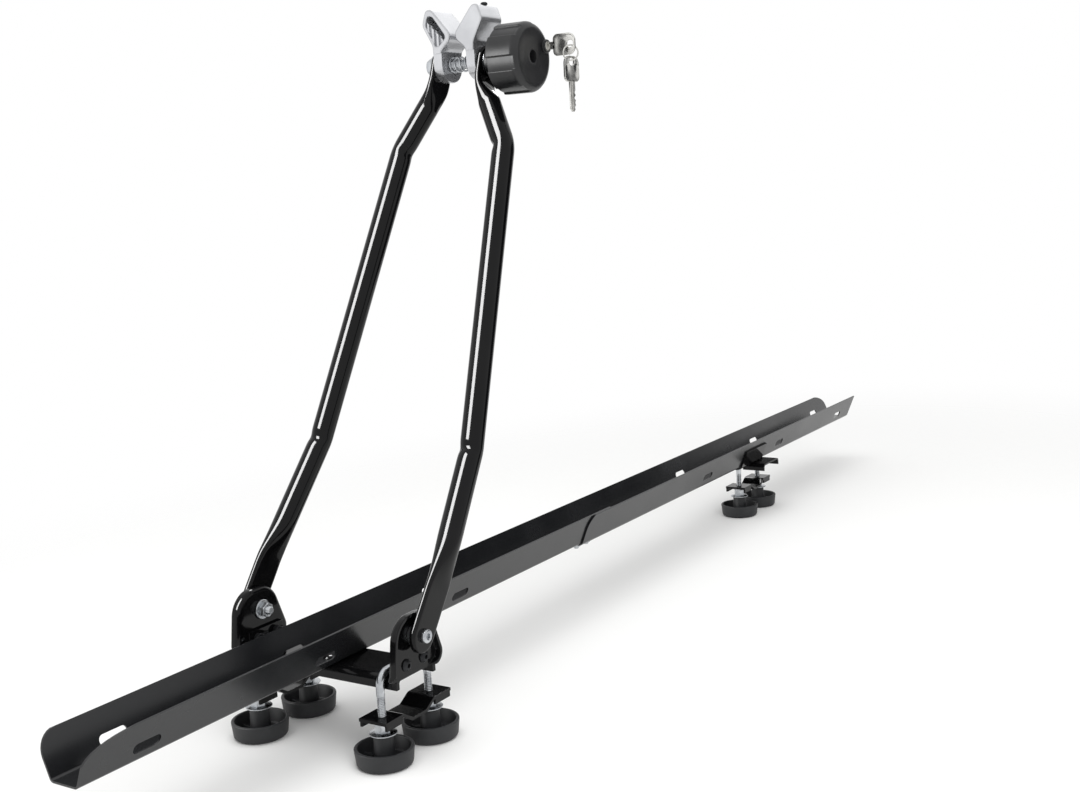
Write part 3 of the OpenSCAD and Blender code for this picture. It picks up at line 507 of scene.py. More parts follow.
# pivot ears
earForm = dict(
    corners=[(-33, 2), (-27, 47), (10, 47), (27, 2)], radii=[4, 19, 19, 9], sheet=2.5, rim=7.0,
    rimAbove=(3.0, 5.0), rimBehind=(10.0, 7.0), bend=(0.5, 3.0), lip=0.8, edge=0.4, ease=0.3,
    pivot=(-4, 30), hole=3.2, columns=192,
)


def earGrid(side, backX, f):
    # a dish: its back runs from the pivot hole to the outline and turns outwards into a rim that dies out
    # at the foot; rimAbove and rimBehind give where the rim starts and the run in which it rises
    o = looped(softCorners(f["corners"], f["radii"], steps=10, ring=True))
    o = alongLine(o, count=f["columns"] + 1)
    n = outward(o)
    rise = [smooth((o[:, k] - start) / run) for k, (start, run) in ((1, f["rimAbove"]), (0, f["rimBehind"]))]
    rim = np.maximum(*rise)[:, None]
    pivot = np.array(f["pivot"])
    hole = pivot + f["hole"] * unit(o - pivot)
    sheet, edge, ease, bend = f["sheet"], f["edge"], f["ease"], f["bend"][0] + f["bend"][1] * rim
    deep = sheet + (f["rim"] - sheet) * rim
    inset = sheet * rim + f["lip"] * (1 - rim)
    rows = []

    def add(place, depth):
        rows.append(np.concatenate([depth + 0 * rim, place], 1))

    for k in np.linspace(0, 1, 7):
        add(hole * (1 - k) + (o - n * bend) * k, 0.0)
    for a in quarter(7)[1:]:
        add(o - n * bend * (1 - math.sin(a)), bend * (1 - math.cos(a)))
    add(o, deep - edge * rim)
    add(o - n * edge, deep)
    add(o - n * (inset - ease * rim), deep)
    add(o - n * inset, deep - edge * rim)
    add(o - n * inset, sheet + rim)
    add(o - n * (inset + ease), sheet + ease * rim)
    for k in np.linspace(0, 1, 7):
        add((o - n * (inset + 1)) * (1 - k) + hole * k, sheet)
    g = looped(np.stack(rows))
    g[..., 0] = side * (backX + g[..., 0])
    return g


for name, side in (("left_ear", -1), ("right_ear", 1)):
    low, high = boxOf(name)
    makePiece(name, "pressed", [earGrid(side, min(abs(low[0]), abs(high[0])), earForm)])
print("pivot ears: 2")


# turned fasteners
def washerProfile(inner, outer, low, high, edge=0.25):
    # a flat ring with its outer edges broken
    return [(inner, low), (outer - edge, low), (outer, low + edge), (outer, high - edge),
            (outer - edge, high), (inner, high), (inner, low)]


# chamfer and cone are shares of the width across the flats
nutForm = dict(chamfer=0.1, cone=0.485, rise=1.7, bevel=0.5, columns=72)


def hexNut(centre, axis, across, bore, low, high, f=nutForm):
    # a six-sided radius held inside two cones that chamfer its ends, closed back through the bore
    columns, bevel = f["columns"], f["bevel"]
    ang = fullTurn(columns)
    chamfer = across * f["chamfer"] * np.linspace(0, 1, 5)
    h = np.r_[low + chamfer, high - chamfer[::-1]]
    cone = across * f["cone"] + f["rise"] * np.minimum(h - low, high - h)
    r = np.minimum(hexRadius(across / 2, ang, hexPhase(axis)), cone[:, None])
    inside = np.array([(bore + bevel, high), (bore, high - bevel), (bore, low + bevel), (bore + bevel, low)])
    r = looped(np.concatenate([r, np.repeat(inside[:, :1], columns + 1, 1)]))
    h = np.repeat(looped(np.r_[h, inside[:, 1]])[:, None], columns + 1, 1)
    return roundAxis(r, h, ang, centre, axis)


def buttonScrew(centre, axis, flip, length, s):
    # tip, shank, domed head and a six-sided socket; height 0 is the seat under the head
    shank, head, height, dome, socket = (s[k] for k in ("shank", "head", "height", "dome", "socket"))
    brim, bevel, edge, mouth = 0.9 * height * (1 - dome), 0.5, 0.15, socket * 1.35
    bow = height * (0.1 + 0.9 * dome)
    body = [(0, -length), (shank - bevel, -length), (shank, -length + bevel), (shank, 0), (head - edge, 0),
            (head, edge), (head, brim)]
    k = np.linspace(0, 1, 7)[1:]
    top = [(head - (head - mouth) * t, brim + bow * math.sin(t * math.pi / 2)) for t in k]
    crown = top[-1][1]
    sink = [(socket, crown - 0.25), (socket, crown - socket * 1.1), (0, crown - socket * 1.3)]
    hexed = [0] * (len(body) + len(top)) + [1, 1, 0]
    return turned(body + top + sink, centre, axis, flip, 48, hexed)


fastenerSet = dict(
    screw=dict(shank=2.5, head=4.5, height=2.6, dome=0.7, socket=1.5), across=8.0, bore=2.6,
    spliceY=(342.0, 360.0), spliceSeat=4.8, spliceLength=8.9, spliceNut=(-2.1, 1.9), earY=(-14.0, 6.0),
    earZ=10.5, earOut=73.0, earLength=10.3, earNut=(63.7, 67.7), rivetY=(-12.0, 12.0), rivetFoot=(3.4, 1.5),
    rivetShank=2.0, rivetSeat=4.8, rivetHead=(4.0, 1.95), rivetEdge=(0.1, 0.05),
)


def makeFasteners(f):
    # splice bolts and nuts, tray rivets, ear bolts and nuts
    bolts = [buttonScrew((0, y, f["spliceSeat"]), "z", 1, f["spliceLength"], f["screw"])
             for y in f["spliceY"]]
    makePiece("splice_bolts", "turned", bolts)
    nuts = [hexNut((0, y, 0), "z", f["across"], f["bore"], *f["spliceNut"]) for y in f["spliceY"]]
    makePiece("splice_nuts", "turned", nuts)
    (foot, footHigh), (head, bow), (inEdge, upEdge) = f["rivetFoot"], f["rivetHead"], f["rivetEdge"]
    shank, seat = f["rivetShank"], f["rivetSeat"]
    rivet = [(0, 0.0), (foot, 0.0), (shank, footHigh), (shank, seat), (head - inEdge, seat)]
    rivet += [(head * math.cos(a), seat + upEdge + bow * math.sin(a)) for a in quarter(8)]
    makePiece("tray_rivets", "domed", [turned(rivet, (0, y, 0)) for y in f["rivetY"]])
    spots = [(side, y) for side in (-1, 1) for y in f["earY"]]
    bolts = [buttonScrew((side * f["earOut"], y, f["earZ"]), "x", side, f["earLength"], f["screw"])
             for side, y in spots]
    makePiece("ear_bolts", "turned", bolts, slotName="dark_screw")
    nuts = [hexNut((0, y, f["earZ"]), "x", f["across"], f["bore"], *sorted(side * x for x in f["earNut"]))
            for side, y in spots]
    makePiece("ear_nuts", "turned", nuts, slotName="dark_screw")


makeFasteners(fastenerSet)


pivotSet = dict(
    y=-4.0, z=30.0, seats={-1: 84.3, 1: 83.1}, rings=[(73.0, 77.5), (68.9, 70.5)], ringBore=3.15, ringR=7.5,
    ringEdge=0.35, head=5.0, headHeight=3.5, headEdge=0.2, headRound=1.6, socket=2.0, socketDeep=2.0,
    mouth=2.6, shank=3.0, bevel=0.6, tip=60.9, nut=(63.9, 68.9), nutBore=3.1, across=10.0, pitch=1.0,
    threadRun=10.0, threadDeep=0.5,
)


def makePivots(f):
    # on each side a threaded bolt, two rings and a nut round the fold axis
    bolts, rings, nuts = [], [], []
    top, head, edge, soft = f["headHeight"], f["head"], f["headEdge"], f["headRound"]
    for side, seat in f["seats"].items():
        end = f["tip"] - seat  # tip of the shank, below the seat of the head
        threaded = np.arange(end + f["bevel"], end + f["threadRun"], f["pitch"] / 6)
        rows = [(0, end), (f["shank"] - f["bevel"], end)] + [(f["shank"], h) for h in threaded]
        rows += [(f["shank"], 0), (head - edge, 0), (head, edge)]
        rows += [(head - soft + soft * math.cos(a), top - soft + soft * math.sin(a)) for a in quarter(7)]
        rows += [(f["mouth"], top), (f["socket"], top - 0.3), (f["socket"], top - f["socketDeep"]),
                 (0, top - f["socketDeep"] - 0.4)]
        hexed = [0] * (len(rows) - 3) + [1, 1, 0]
        thread = (end, end + f["threadRun"], f["pitch"], f["threadDeep"])
        bolts.append(turned(rows, (side * seat, f["y"], f["z"]), "x", side, 48, hexed, thread))
        centre = (0, f["y"], f["z"])
        for span in f["rings"]:
            profile = washerProfile(f["ringBore"], f["ringR"], *span, edge=f["ringEdge"])
            rings.append(turned(profile, centre, "x", side))
        nuts.append(hexNut(centre, "x", f["across"], f["nutBore"], *sorted(side * x for x in f["nut"])))
    makePiece("pivot_bolts", "turned", bolts)
    makePiece("pivot_washers", "turned", rings)
    makePiece("pivot_nuts", "turned", nuts)


makePivots(pivotSet)
print("fasteners: splice, rivets, ears and pivots")


# bar clamps
uBoltForm = dict(
    rod=3.0, leg=27.0, corner=9.0, legEnd=-54.9, bevel=0.8, tip=0.7, threadTop=-9.0, threadLow=-44.0,
    threadFade=2.0, pitch=1.2, depth=0.5, columns=28,
)


def uBoltGrid(x, y, crown, f):
    # a round rod up one leg, over the crown and down the other, with a thread cut in both legs
    leg, corner, end, top, fade = f["leg"], f["corner"], f["legEnd"], f["threadTop"], f["threadFade"]
    rise = crown - corner
    up = np.r_[end, np.arange(end + f["bevel"], top + fade, f["pitch"] / 5),
               np.linspace(top + fade + 1, rise, 6)]
    a = quarter(12)[1:]
    half = np.concatenate([
        np.stack([0 * up - leg, up], -1),
        np.stack([-leg + corner * (1 - np.cos(a)), rise + corner * np.sin(a)], -1),
        np.stack([np.linspace(-leg + corner, 0, 6)[1:], np.full(5, crown)], -1)])
    yz = np.concatenate([half, (half * [-1, 1])[-2::-1]])
    path = np.concatenate([np.full((len(yz), 1), x), yz + [y, 0]], 1)
    ang = fullTurn(f["columns"])
    z = yz[:, 1:]
    cut = smooth((z - f["threadLow"]) / fade) * smooth((top - z) / fade) * threadCut(z, ang, f["pitch"])
    r = f["rod"] - f["depth"] * cut - f["tip"] * (z < end + 0.1)
    return closedEnds(swept(path, (1, 0, 0), np.stack([r * np.cos(ang), r * np.sin(ang)], -1)))


cupForm = dict(
    wall=2.4, taper=1.5, edge=3.0, rounds=[1.0, 0.9, 1.6, 1.4, 1.0, 0.4, 0.3], cup=13.5, hub=7.0,
    hubFoot=0.8, bore=4.7, boreDeep=4.0, ribs=6, ribHalf=1.0, ribRise=3.4, ribDip=0.35, columns=96,
)


def cupGrids(node, f):
    # a shallow tapered cup turned round its hub, with low ribs that dip between hub and wall
    low, high = boxOf(node)
    x, y = (low[:2] + high[:2]) / 2
    r, base, top = (high[0] - low[0]) / 2, low[2], high[2]
    rim, floor, shelf = base + f["cup"], base + f["wall"], top - f["boreDeep"]
    foot = r - f["taper"]
    corners = [(0, base), (foot, base), (r, rim), (r - f["wall"], rim), (foot - f["wall"], floor),
               (f["hub"] + f["hubFoot"], floor), (f["hub"], top), (f["bore"], top), (f["bore"], shelf),
               (0, shelf)]
    profile = softCorners(corners, [f["edge"], *f["rounds"]])
    grids = [turned(profile, (x, y, 0), columns=f["columns"])]
    section = np.array([(-1, -1), (-1, 0.75), (-0.6, 1), (0.6, 1), (1, 0.75), (1, -1), (-1, -1)])
    section = section * [f["ribHalf"], 1]
    radii = np.linspace(f["hub"] - 0.6, foot - f["wall"] + 0.8, 8)
    height = f["ribRise"] * (1 - f["ribDip"] * np.sin(np.linspace(0, math.pi, 8)))
    lift = np.where(section[:, 1] > 0, height[:, None] * section[:, 1], -1.0)[..., None] * [0, 0, 1]
    for a in fullTurn(f["ribs"])[:-1]:
        way, cross = np.array([math.cos(a), math.sin(a), 0]), np.array([-math.sin(a), math.cos(a), 0])
        rib = np.array([x, y, floor]) + radii[:, None, None] * way + section[:, :1] * cross + lift
        grids.append(closedEnds(rib))
    return grids


collarForm = dict(
    across=10.39, bore=3.1, lip=1.6, rose=10.0, roseHeight=1.2, skirt=0.4, rise=0.3, sleeve=4.4,
    sleeveUp=0.6,
)


def collarGrids(node, hubTop, f):
    # a flanged hexagon: a thin rose with a coned upper face under a chamfered nut
    low, high = boxOf(node)
    x, y = (low[:2] + high[:2]) / 2
    inner, bore, brow = f["bore"] + f["lip"], f["bore"], hubTop + f["roseHeight"]
    rose = softCorners([(inner, hubTop), (f["rose"], hubTop), (f["rose"], brow - f["skirt"]),
                        (f["across"] / 2, brow + f["rise"]), (inner, brow + f["rise"]), (inner, hubTop)],
                       [0.2, 0.3, 0.4, 0])
    end = hubTop + f["sleeveUp"]
    sleeve = [(bore, low[2]), (f["sleeve"], low[2]), (f["sleeve"], end), (bore, end), (bore, low[2])]
    nut = hexNut((x, y, 0), "z", f["across"], bore, hubTop + f["roseHeight"] * 0.5, high[2])
    return [turned(rose, (x, y, 0)), nut, turned(sleeve, (x, y, 0), columns=32)]


washerBore = 3.5
for place in clampPlaces:
    low, high = boxOf(place + "_u_bolt")
    x, y = (low[:2] + high[:2]) / 2
    rod = uBoltGrid(x, y, high[2] - uBoltForm["rod"], uBoltForm)
    makePiece(place + "_u_bolt", "threaded", [rod], sharp=60)
    low, high = boxOf(place + "_washers")
    profile = washerProfile(washerBore, (high[0] - low[0]) / 2, low[2], high[2])
    rings = [turned(profile, (x, y + side * uBoltForm["leg"], 0)) for side in (-1, 1)]
    makePiece(place + "_washers", "turned", rings)
    for k in "ab":
        cup, collar = f"{place}_hand_nut_{k}", f"{place}_insert_{k}"
        makePiece(cup, "moulded", cupGrids(cup, cupForm))
        makePiece(collar, "turned", collarGrids(collar, boxOf(cup)[1][2], collarForm))
print("bar clamps: 3")


# head: jaws, spindle, spring, knob
headSet = dict(y=203.0, z=436.0)


def headPoint(x=0.0):
    # a point on the spindle's axis
    return (x, headSet["y"], headSet["z"])


jawForm = dict(
    half=15.0, tongue=14.0, cheek=9.0, edge=1.3, soft=2.0, step=0.6, bellReach=12,
    outline=[(2.6, 19), (2.6, 24), (20, 44), (25.5, 44), (29.5, 32), (20, 15), (20, -15), (12, -15),
             (12, 11)],
    pocket=[(7.4, 20), (7.4, 22.5), (18.8, 38.2), (23.6, 39), (26.2, 32), (17.6, 15.2), (16.8, 14.6),
            (14.4, 14.6), (13.4, 15)],
    pocketEdge=((0.8, 0.0), (0.3, 0.15), (0.0, 0.8)), draft=0.4, deep=19.0, shallow=3.2,
    ledge=(8.0, 18.5, 1.0), ledgeRun=1.4, ribs=(10.6, 15.0, 19.4, 23.8), ribHalf=1.15, ribRun=0.7,
    ribRise=2.2, boreRun=(5, 30), bores={"right_jaw": 4.3, "left_jaw": 5.0},
)


def evenLoops(f):
    # outline and pocket sampled side by side, edge by edge, both eased by the same short bell curve
    a, b = np.array(f["outline"], float), np.array(f["pocket"], float)
    outer, inner = [], []
    for i in range(len(a)):
        j = (i + 1) % len(a)
        k = np.linspace(0, 1, max(2, int(np.linalg.norm(a[j] - a[i]) / f["step"])) + 1)[:-1, None]
        outer.append(a[i] * (1 - k) + a[j] * k)
        inner.append(b[i] * (1 - k) + b[j] * k)
    reach = np.arange(-f["bellReach"], f["bellReach"] + 1)
    bell = np.exp(-0.5 * (reach * f["step"] / f["soft"]) ** 2)
    ease = lambda q: sum(w * np.roll(q, s, 0) for w, s in zip(bell / bell.sum(), reach))
    return [looped(ease(np.concatenate(q))) for q in (outer, inner)]


def pocketDepth(place, f):
    # a shallow ribbed ledge below a slanting line, a deep hollow above it
    x, z = place[:, 0], place[:, 1]
    at, base, slope = f["ledge"]
    low = smooth((base + slope * (x - at) - z) / f["ledgeRun"] + 0.5)
    rib = np.max([smooth((f["ribHalf"] - np.abs(x - r)) / f["ribRun"] + 0.5) for r in f["ribs"]], 0)
    return f["deep"] + low * (f["shallow"] - f["deep"] - f["ribRise"] * rib)


def jawGrid(f):
    # the side outline carried through the depth, its tongue cut round below and one end sunk into a pocket
    o, p = evenLoops(f)
    n = outward(o)
    middle = p[:-1].mean(0)
    half, e, tongue = f["half"], f["edge"], f["tongue"]
    rows = []

    def add(place, y, cut=False):
        x, z = place[:, 0], place[:, 1]
        if cut:
            z = np.maximum(z, -math.sqrt(tongue ** 2 - y * y) if abs(y) < tongue else f["cheek"])
        rows.append(np.stack([x, y + 0 * x, z], -1))

    for k in (0, 0.5, 1):
        add(middle * (1 - k) + p * k, -half)
    turn = quarter(6)
    for a in turn:
        add(o - n * e * (1 - math.sin(a)), -half + e * (1 - math.cos(a)), True)
    for y in np.r_[-tongue - 0.01, -tongue * np.cos(np.linspace(0.02, math.pi - 0.02, 41)), tongue + 0.01]:
        if abs(y) < half - e or abs(y) < tongue + 0.1:
            add(o, y, True)
    for a in turn[::-1]:
        add(o - n * e * (1 - math.sin(a)), half - e * (1 - math.cos(a)), True)
    out = unit(p - middle)
    for lift, sink in f["pocketEdge"]:
        add(p + out * lift, half - sink)
    for k in np.r_[0.0, np.linspace(0.02, 1, 60)]:
        place = (p - out * f["draft"]) * (1 - k) + middle * k
        add(place, half)
        rows[-1][:, 1] -= pocketDepth(place, f)
    return np.stack(rows)


def makeJaws(f):
    # the same casting twice, turned half round, each bored for the spindle
    grid = jawGrid(f)
    start, end = f["boreRun"]
    for name, side in (("right_jaw", 1), ("left_jaw", -1)):
        jaw = makePiece(name, "cast", [grid * [side, side, 1] + headPoint()], sharp=52)
        r = f["bores"][name]
        bore = turned([(0, start), (r, start), (r, end), (0, end)], headPoint(), "x", side, 40)
        cutter = plainMesh("spindleBore", [bore])
        hole = jaw.modifiers.new("spindleHole", "BOOLEAN")
        hole.operation, hole.object = "DIFFERENCE", cutter
        cut = bpy.data.meshes.new_from_object(jaw.evaluated_get(bpy.context.evaluated_depsgraph_get()))
        jaw.modifiers.clear()
        jaw.data = cut
        bpy.data.objects.remove(cutter)


makeJaws(jawForm)


spindleForm = dict(
    radius=4.0, pitch=1.25, depth=0.55, bevel=0.8, nutBore=4.1,
    washers={"spindle_washer": 4.1, "knob_washer": 4.3},
)


def makeSpindle(f):
    # the threaded rod through the head, its two washers and its nut
    low, high = boxOf("clamp_spindle")
    start, end, r, bevel = low[0], high[0], f["radius"], f["bevel"]
    rows = np.arange(start + bevel, end - bevel, f["pitch"] / 6)
    profile = [(0, start), (r - bevel, start)] + [(r, h) for h in rows] + [(r - bevel, end), (0, end)]
    rod = turned(profile, headPoint(), "x", columns=28, thread=(start, end, f["pitch"], f["depth"]))
    makePiece("clamp_spindle", "threaded", [rod], sharp=60)
    for name, bore in f["washers"].items():
        low, high = boxOf(name)
        profile = washerProfile(bore, (high[1] - low[1]) / 2, low[0], high[0])
        makePiece(name, "turned", [turned(profile, headPoint(), "x")])
    low, high = boxOf("spindle_nut")
    nut = hexNut(headPoint(), "x", high[1] - low[1], f["nutBore"], low[0], high[0])
    makePiece("spindle_nut", "turned", [nut])


makeSpindle(spindleForm)


springForm = dict(half=11.7, mean=5.6, wire=0.8, turns=5.2, dead=0.7, least=0.28, rows=40, columns=14)


def makeSpring(f):
    # a wire wound round the spindle; its pitch closes up in the dead turns at both ends
    t = np.linspace(0, f["turns"], int(f["turns"] * f["rows"]))
    ends = np.minimum(t, f["turns"] - t)
    climb = f["least"] + smooth((ends - f["dead"] * 0.6) / (f["dead"] * 0.8))
    x = np.r_[0, np.cumsum((climb[1:] + climb[:-1]) / 2)]
    x = (x / x[-1] * 2 - 1) * (f["half"] - f["wire"])
    a = 2 * math.pi * t
    path = np.stack([x, headSet["y"] + f["mean"] * np.cos(a), headSet["z"] + f["mean"] * np.sin(a)], -1)
    out = np.stack([0 * a, np.cos(a), np.sin(a)], -1)
    wire = swept(path, out, wireSection(len(t), f["columns"], f["wire"], f["wire"]))
    spring = makePiece("jaw_spring", "wound", [closedEnds(wire)], sharp=60, rides=False)
    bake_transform(spring)


makeSpring(springForm)


screwSet = dict(head=2.75, shank=1.5, height=2.2, dome=0.25, socket=1.15, length=10.0)


def makeJawScrew(f):
    # the small socket screw on top of the right jaw
    low, high = boxOf("jaw_screw")
    x, y = (low[:2] + high[:2]) / 2
    screw = buttonScrew((x, y, high[2] - f["height"]), "z", 1, f["length"], f)
    makePiece("jaw_screw", "turned", [screw])


makeJawScrew(screwSet)


knobForm = dict(
    seat=26.9, back=38.9, face=66.9, radius=27.5, edge=6.0, wall=3.0, web=5.0, boss=12.0, bore=7.1, eye=5.0,
    insert=15.1, lead=4.0, flutes=6, fluteDeep=1.4, fluteSpan=24.0, fluteTurn=11.5, fluteEdge=1.0,
    fluteEnd=1.2, dish=0.5, dishRun=10.0, sleeve=(4.1, 7.0), columns=420,
)


def makeKnob(f):
    # a hollow hand wheel turned round the spindle; broad flutes in its side die out at the face
    r, face, back, seat, edge = f["radius"], f["face"], f["back"], f["seat"], f["edge"]
    inner, web, lead = r - f["wall"], face - f["web"], back + f["lead"]
    dished, stop = face - f["dish"], seat + f["insert"]
    left = softCorners([(f["bore"], seat), (f["boss"], seat), (f["boss"] + 0.6, web), (inner, web),
                        (inner + 0.4, back), (r, back), (r, lead)], [0.6, 1.5, 1.5, 0.5, 0.9])
    side = [(r, x) for x in np.linspace(lead, face - edge - 0.5, 14)[1:]]
    arc = [(r - edge + edge * math.cos(a), face - edge + edge * math.sin(a)) for a in quarter(14)]
    flat = [(q, face - f["dish"] * float(smooth((r - edge - q) / f["dishRun"])))
            for q in np.linspace(r - edge, f["eye"] + 0.8, 8)[1:]]
    eye = [(f["eye"] + 0.2, dished - 0.2), (f["eye"], dished - 0.8), (f["eye"], stop), (f["bore"], stop),
           (f["bore"], seat)]
    profile = np.array([tuple(p) for p in left] + side + arc + flat + eye)
    outside = np.zeros(len(profile))
    outside[np.argmax(profile[:, 0] > r - 1.0) : len(left) + len(side) + len(arc)] = 1

    def flute(h, ang):
        # depth by the angle from the middle of the nearest flute, fading towards the face
        pitch = 2 * math.pi / f["flutes"]
        off = np.mod(ang - math.radians(f["fluteTurn"]) + pitch / 2, pitch) - pitch / 2
        into = (math.radians(f["fluteSpan"]) / 2 - np.abs(off)) * r
        fade = smooth((face - f["fluteEnd"] - h) / 4)
        return -f["fluteDeep"] * smooth(into / f["fluteEdge"] + 0.5) * fade * outside[:, None]

    wheel = turned(profile, headPoint(), "x", columns=f["columns"], radial=flute)
    makePiece("knob", "fluted", [wheel], sharp=40)
    low, high = boxOf("knob_insert")
    thin, thick = f["sleeve"]
    sleeve = softCorners([(thin, low[0]), (thick, low[0]), (thick, high[0]), (thin, high[0]), (thin, low[0])],
                         [0.4, 0.4, 0.3])
    makePiece("knob_insert", "turned", [turned(sleeve, headPoint(), "x")])


makeKnob(knobForm)
print("head: jaws, spindle, spring, screw and knob")


# lock and keys
lockForm = dict(
    radius=5.5, plug=4.1, depth=9.0, step=0.35, stepBack=1.6, mouth=0.25,
    rounds=[0.4, 0.3, 0.2, 0.6, 0.2, 0.1, 0.2],
)


def makeLock(f):
    # a stepped barrel with a round well for the plug
    low, high = boxOf("lock_barrel")
    y, z = (low[1:] + high[1:]) / 2
    r, neck, plug, end = f["radius"], f["radius"] - f["step"], f["plug"], high[0]
    shoulder, well = end - f["stepBack"], end - f["depth"]
    corners = [(0, low[0]), (r, low[0]), (r, shoulder), (neck, shoulder + 0.3), (neck, end),
               (plug + f["mouth"], end), (plug, end - 0.4), (plug, well), (0, well)]
    barrel = turned(softCorners(corners, f["rounds"]), (0, y, z), "x")
    makePiece("lock_barrel", "turned", [barrel])


makeLock(lockForm)


keyForm = dict(
    headWide=20.0, headHigh=17.0, headRadii=[4, 4, 6, 6], holeIn=4.5, hole=3.0, thick=0.9, bevel=0.3,
    panel=0.25, columns=120, blade=23.0, root=1.5, bladeHalf=3.0, point=0.8, pointRun=3.0,
    notches=(-20.0, -16.2, -12.4, -8.2), notchDeep=(1.5, 0.9, 1.7, 1.1), notchHalf=0.5, notchSlope=1.5,
    section=[(-3, -0.6), (-2.7, -0.9), (-1.9, -0.9), (-1.7, -0.45), (-0.5, -0.45), (-0.3, -0.9), (2.7, -0.9),
             (3, -0.6), (3, 0.6), (2.7, 0.9), (1.3, 0.9), (1.1, 0.45), (-0.1, 0.45), (-0.3, 0.9), (-2.7, 0.9),
             (-3, 0.6), (-3, -0.6)],
    spareTurn=-10.0,
)


def keyHead(f):
    # a plate from its hole out to its outline with a sunk panel on both faces
    w, h = f["headWide"], f["headHigh"] / 2
    o = looped(softCorners([(0, h), (0, -h), (w, -h), (w, h)], f["headRadii"], steps=10, ring=True))
    o = alongLine(o, count=f["columns"] + 1)
    centre = np.array([w - f["holeIn"], 0.0])
    out = unit(o - centre)
    rim = np.linalg.norm(o - centre, axis=1)[:, None]
    t, b, sunk = f["thick"], f["bevel"], f["thick"] - f["panel"]
    # share of the way from hole to outline, shift outwards, height
    face = [(0, 0, t - b), (0, b, t), (0.22, 0, t), (0.3, 0, sunk), (0.72, 0, sunk), (0.8, 0, t), (1, -b, t),
            (1, 0, t - b)]
    rows = []
    for share, shift, c in face + [(a, s, -c) for a, s, c in face[::-1]] + face[:1]:
        place = centre + out * (f["hole"] + (rim - f["hole"]) * share + shift)
        rows.append(np.concatenate([place, np.full((len(o), 1), c)], 1))
    return np.stack(rows)


def keyBlade(f):
    # a grooved bar with V notches along one edge that narrows to its point
    half, point, run, tip = f["bladeHalf"], f["point"], f["pointRun"], -f["blade"]
    a = np.r_[np.linspace(f["root"], tip + run, 60), np.linspace(tip + run - 0.3, tip, 8)]
    ring = np.array(f["section"])
    cut = np.max([d * np.clip(1 - (np.abs(a - p) - f["notchHalf"]) / f["notchSlope"], 0, 1)
                  for p, d in zip(f["notches"], f["notchDeep"])], 0)
    narrow = point + (half - point) * smooth((a - tip) / run)
    side = np.clip(ring[:, 0], -narrow[:, None], np.minimum(half - cut, narrow)[:, None])
    blade = np.stack([np.repeat(a[:, None], len(ring), 1), side, np.repeat(ring[None, :, 1], len(a), 0)], -1)
    return closedEnds(blade)


def makeKeys(f):
    # the same key twice: level in the lock, and hanging from the ring
    grids = [keyHead(f), keyBlade(f)]
    low, high = boxOf("key")
    start = high[0] - f["headWide"]
    y, z = (low[1] + high[1]) / 2, (low[2] + high[2]) / 2
    inLock = [np.stack([start + g[..., 0], y - g[..., 2], z + g[..., 1]], -1) for g in grids]
    makePiece("key", "cut", inLock, sharp=28)
    low, high = boxOf("spare_key")
    hang = high[2] - f["holeIn"]
    middle = (low[:2] + high[:2]) / 2
    turn = math.radians(f["spareTurn"])
    spin = np.array([[math.cos(turn), -math.sin(turn)], [math.sin(turn), math.cos(turn)]])
    loose = []
    for g in grids:
        flat = np.stack([-g[..., 2], g[..., 1]], -1) @ spin.T + middle
        loose.append(np.concatenate([flat, hang + g[..., :1] - (f["headWide"] - f["holeIn"])], -1))
    makePiece("spare_key", "cut", loose, sharp=28)


makeKeys(keyForm)


ringForm = dict(
    mean=5.9, wire=0.55, flat=0.48, turns=1.97, start=0.6, step=(0.9, 0.16), turn=40.0, rows=160,
    columns=12,
)


def makeRing(f):
    # a split ring: flattened wire wound twice, stepping over to the second turn in a short run
    low, high = boxOf("key_ring")
    t = np.linspace(0, f["turns"], f["rows"])
    a = 2 * math.pi * t + math.pi * f["start"]
    stepAt, stepRun = f["step"]
    shift = f["wire"] * (smooth((t - stepAt) / stepRun) - 0.5)
    turn = math.radians(f["turn"])
    across = np.array([math.cos(turn), math.sin(turn), 0])
    axis = np.array([math.sin(turn), -math.cos(turn), 0])
    radial = np.cos(a)[:, None] * across + np.sin(a)[:, None] * np.array([0, 0, 1])
    path = (low + high) / 2 + f["mean"] * radial + shift[:, None] * axis
    wire = swept(path, radial, wireSection(len(t), f["columns"], f["wire"], f["flat"] * f["wire"]))
    makePiece("key_ring", "split", [closedEnds(wire)], sharp=50)


makeRing(ringForm)
print("lock and keys")


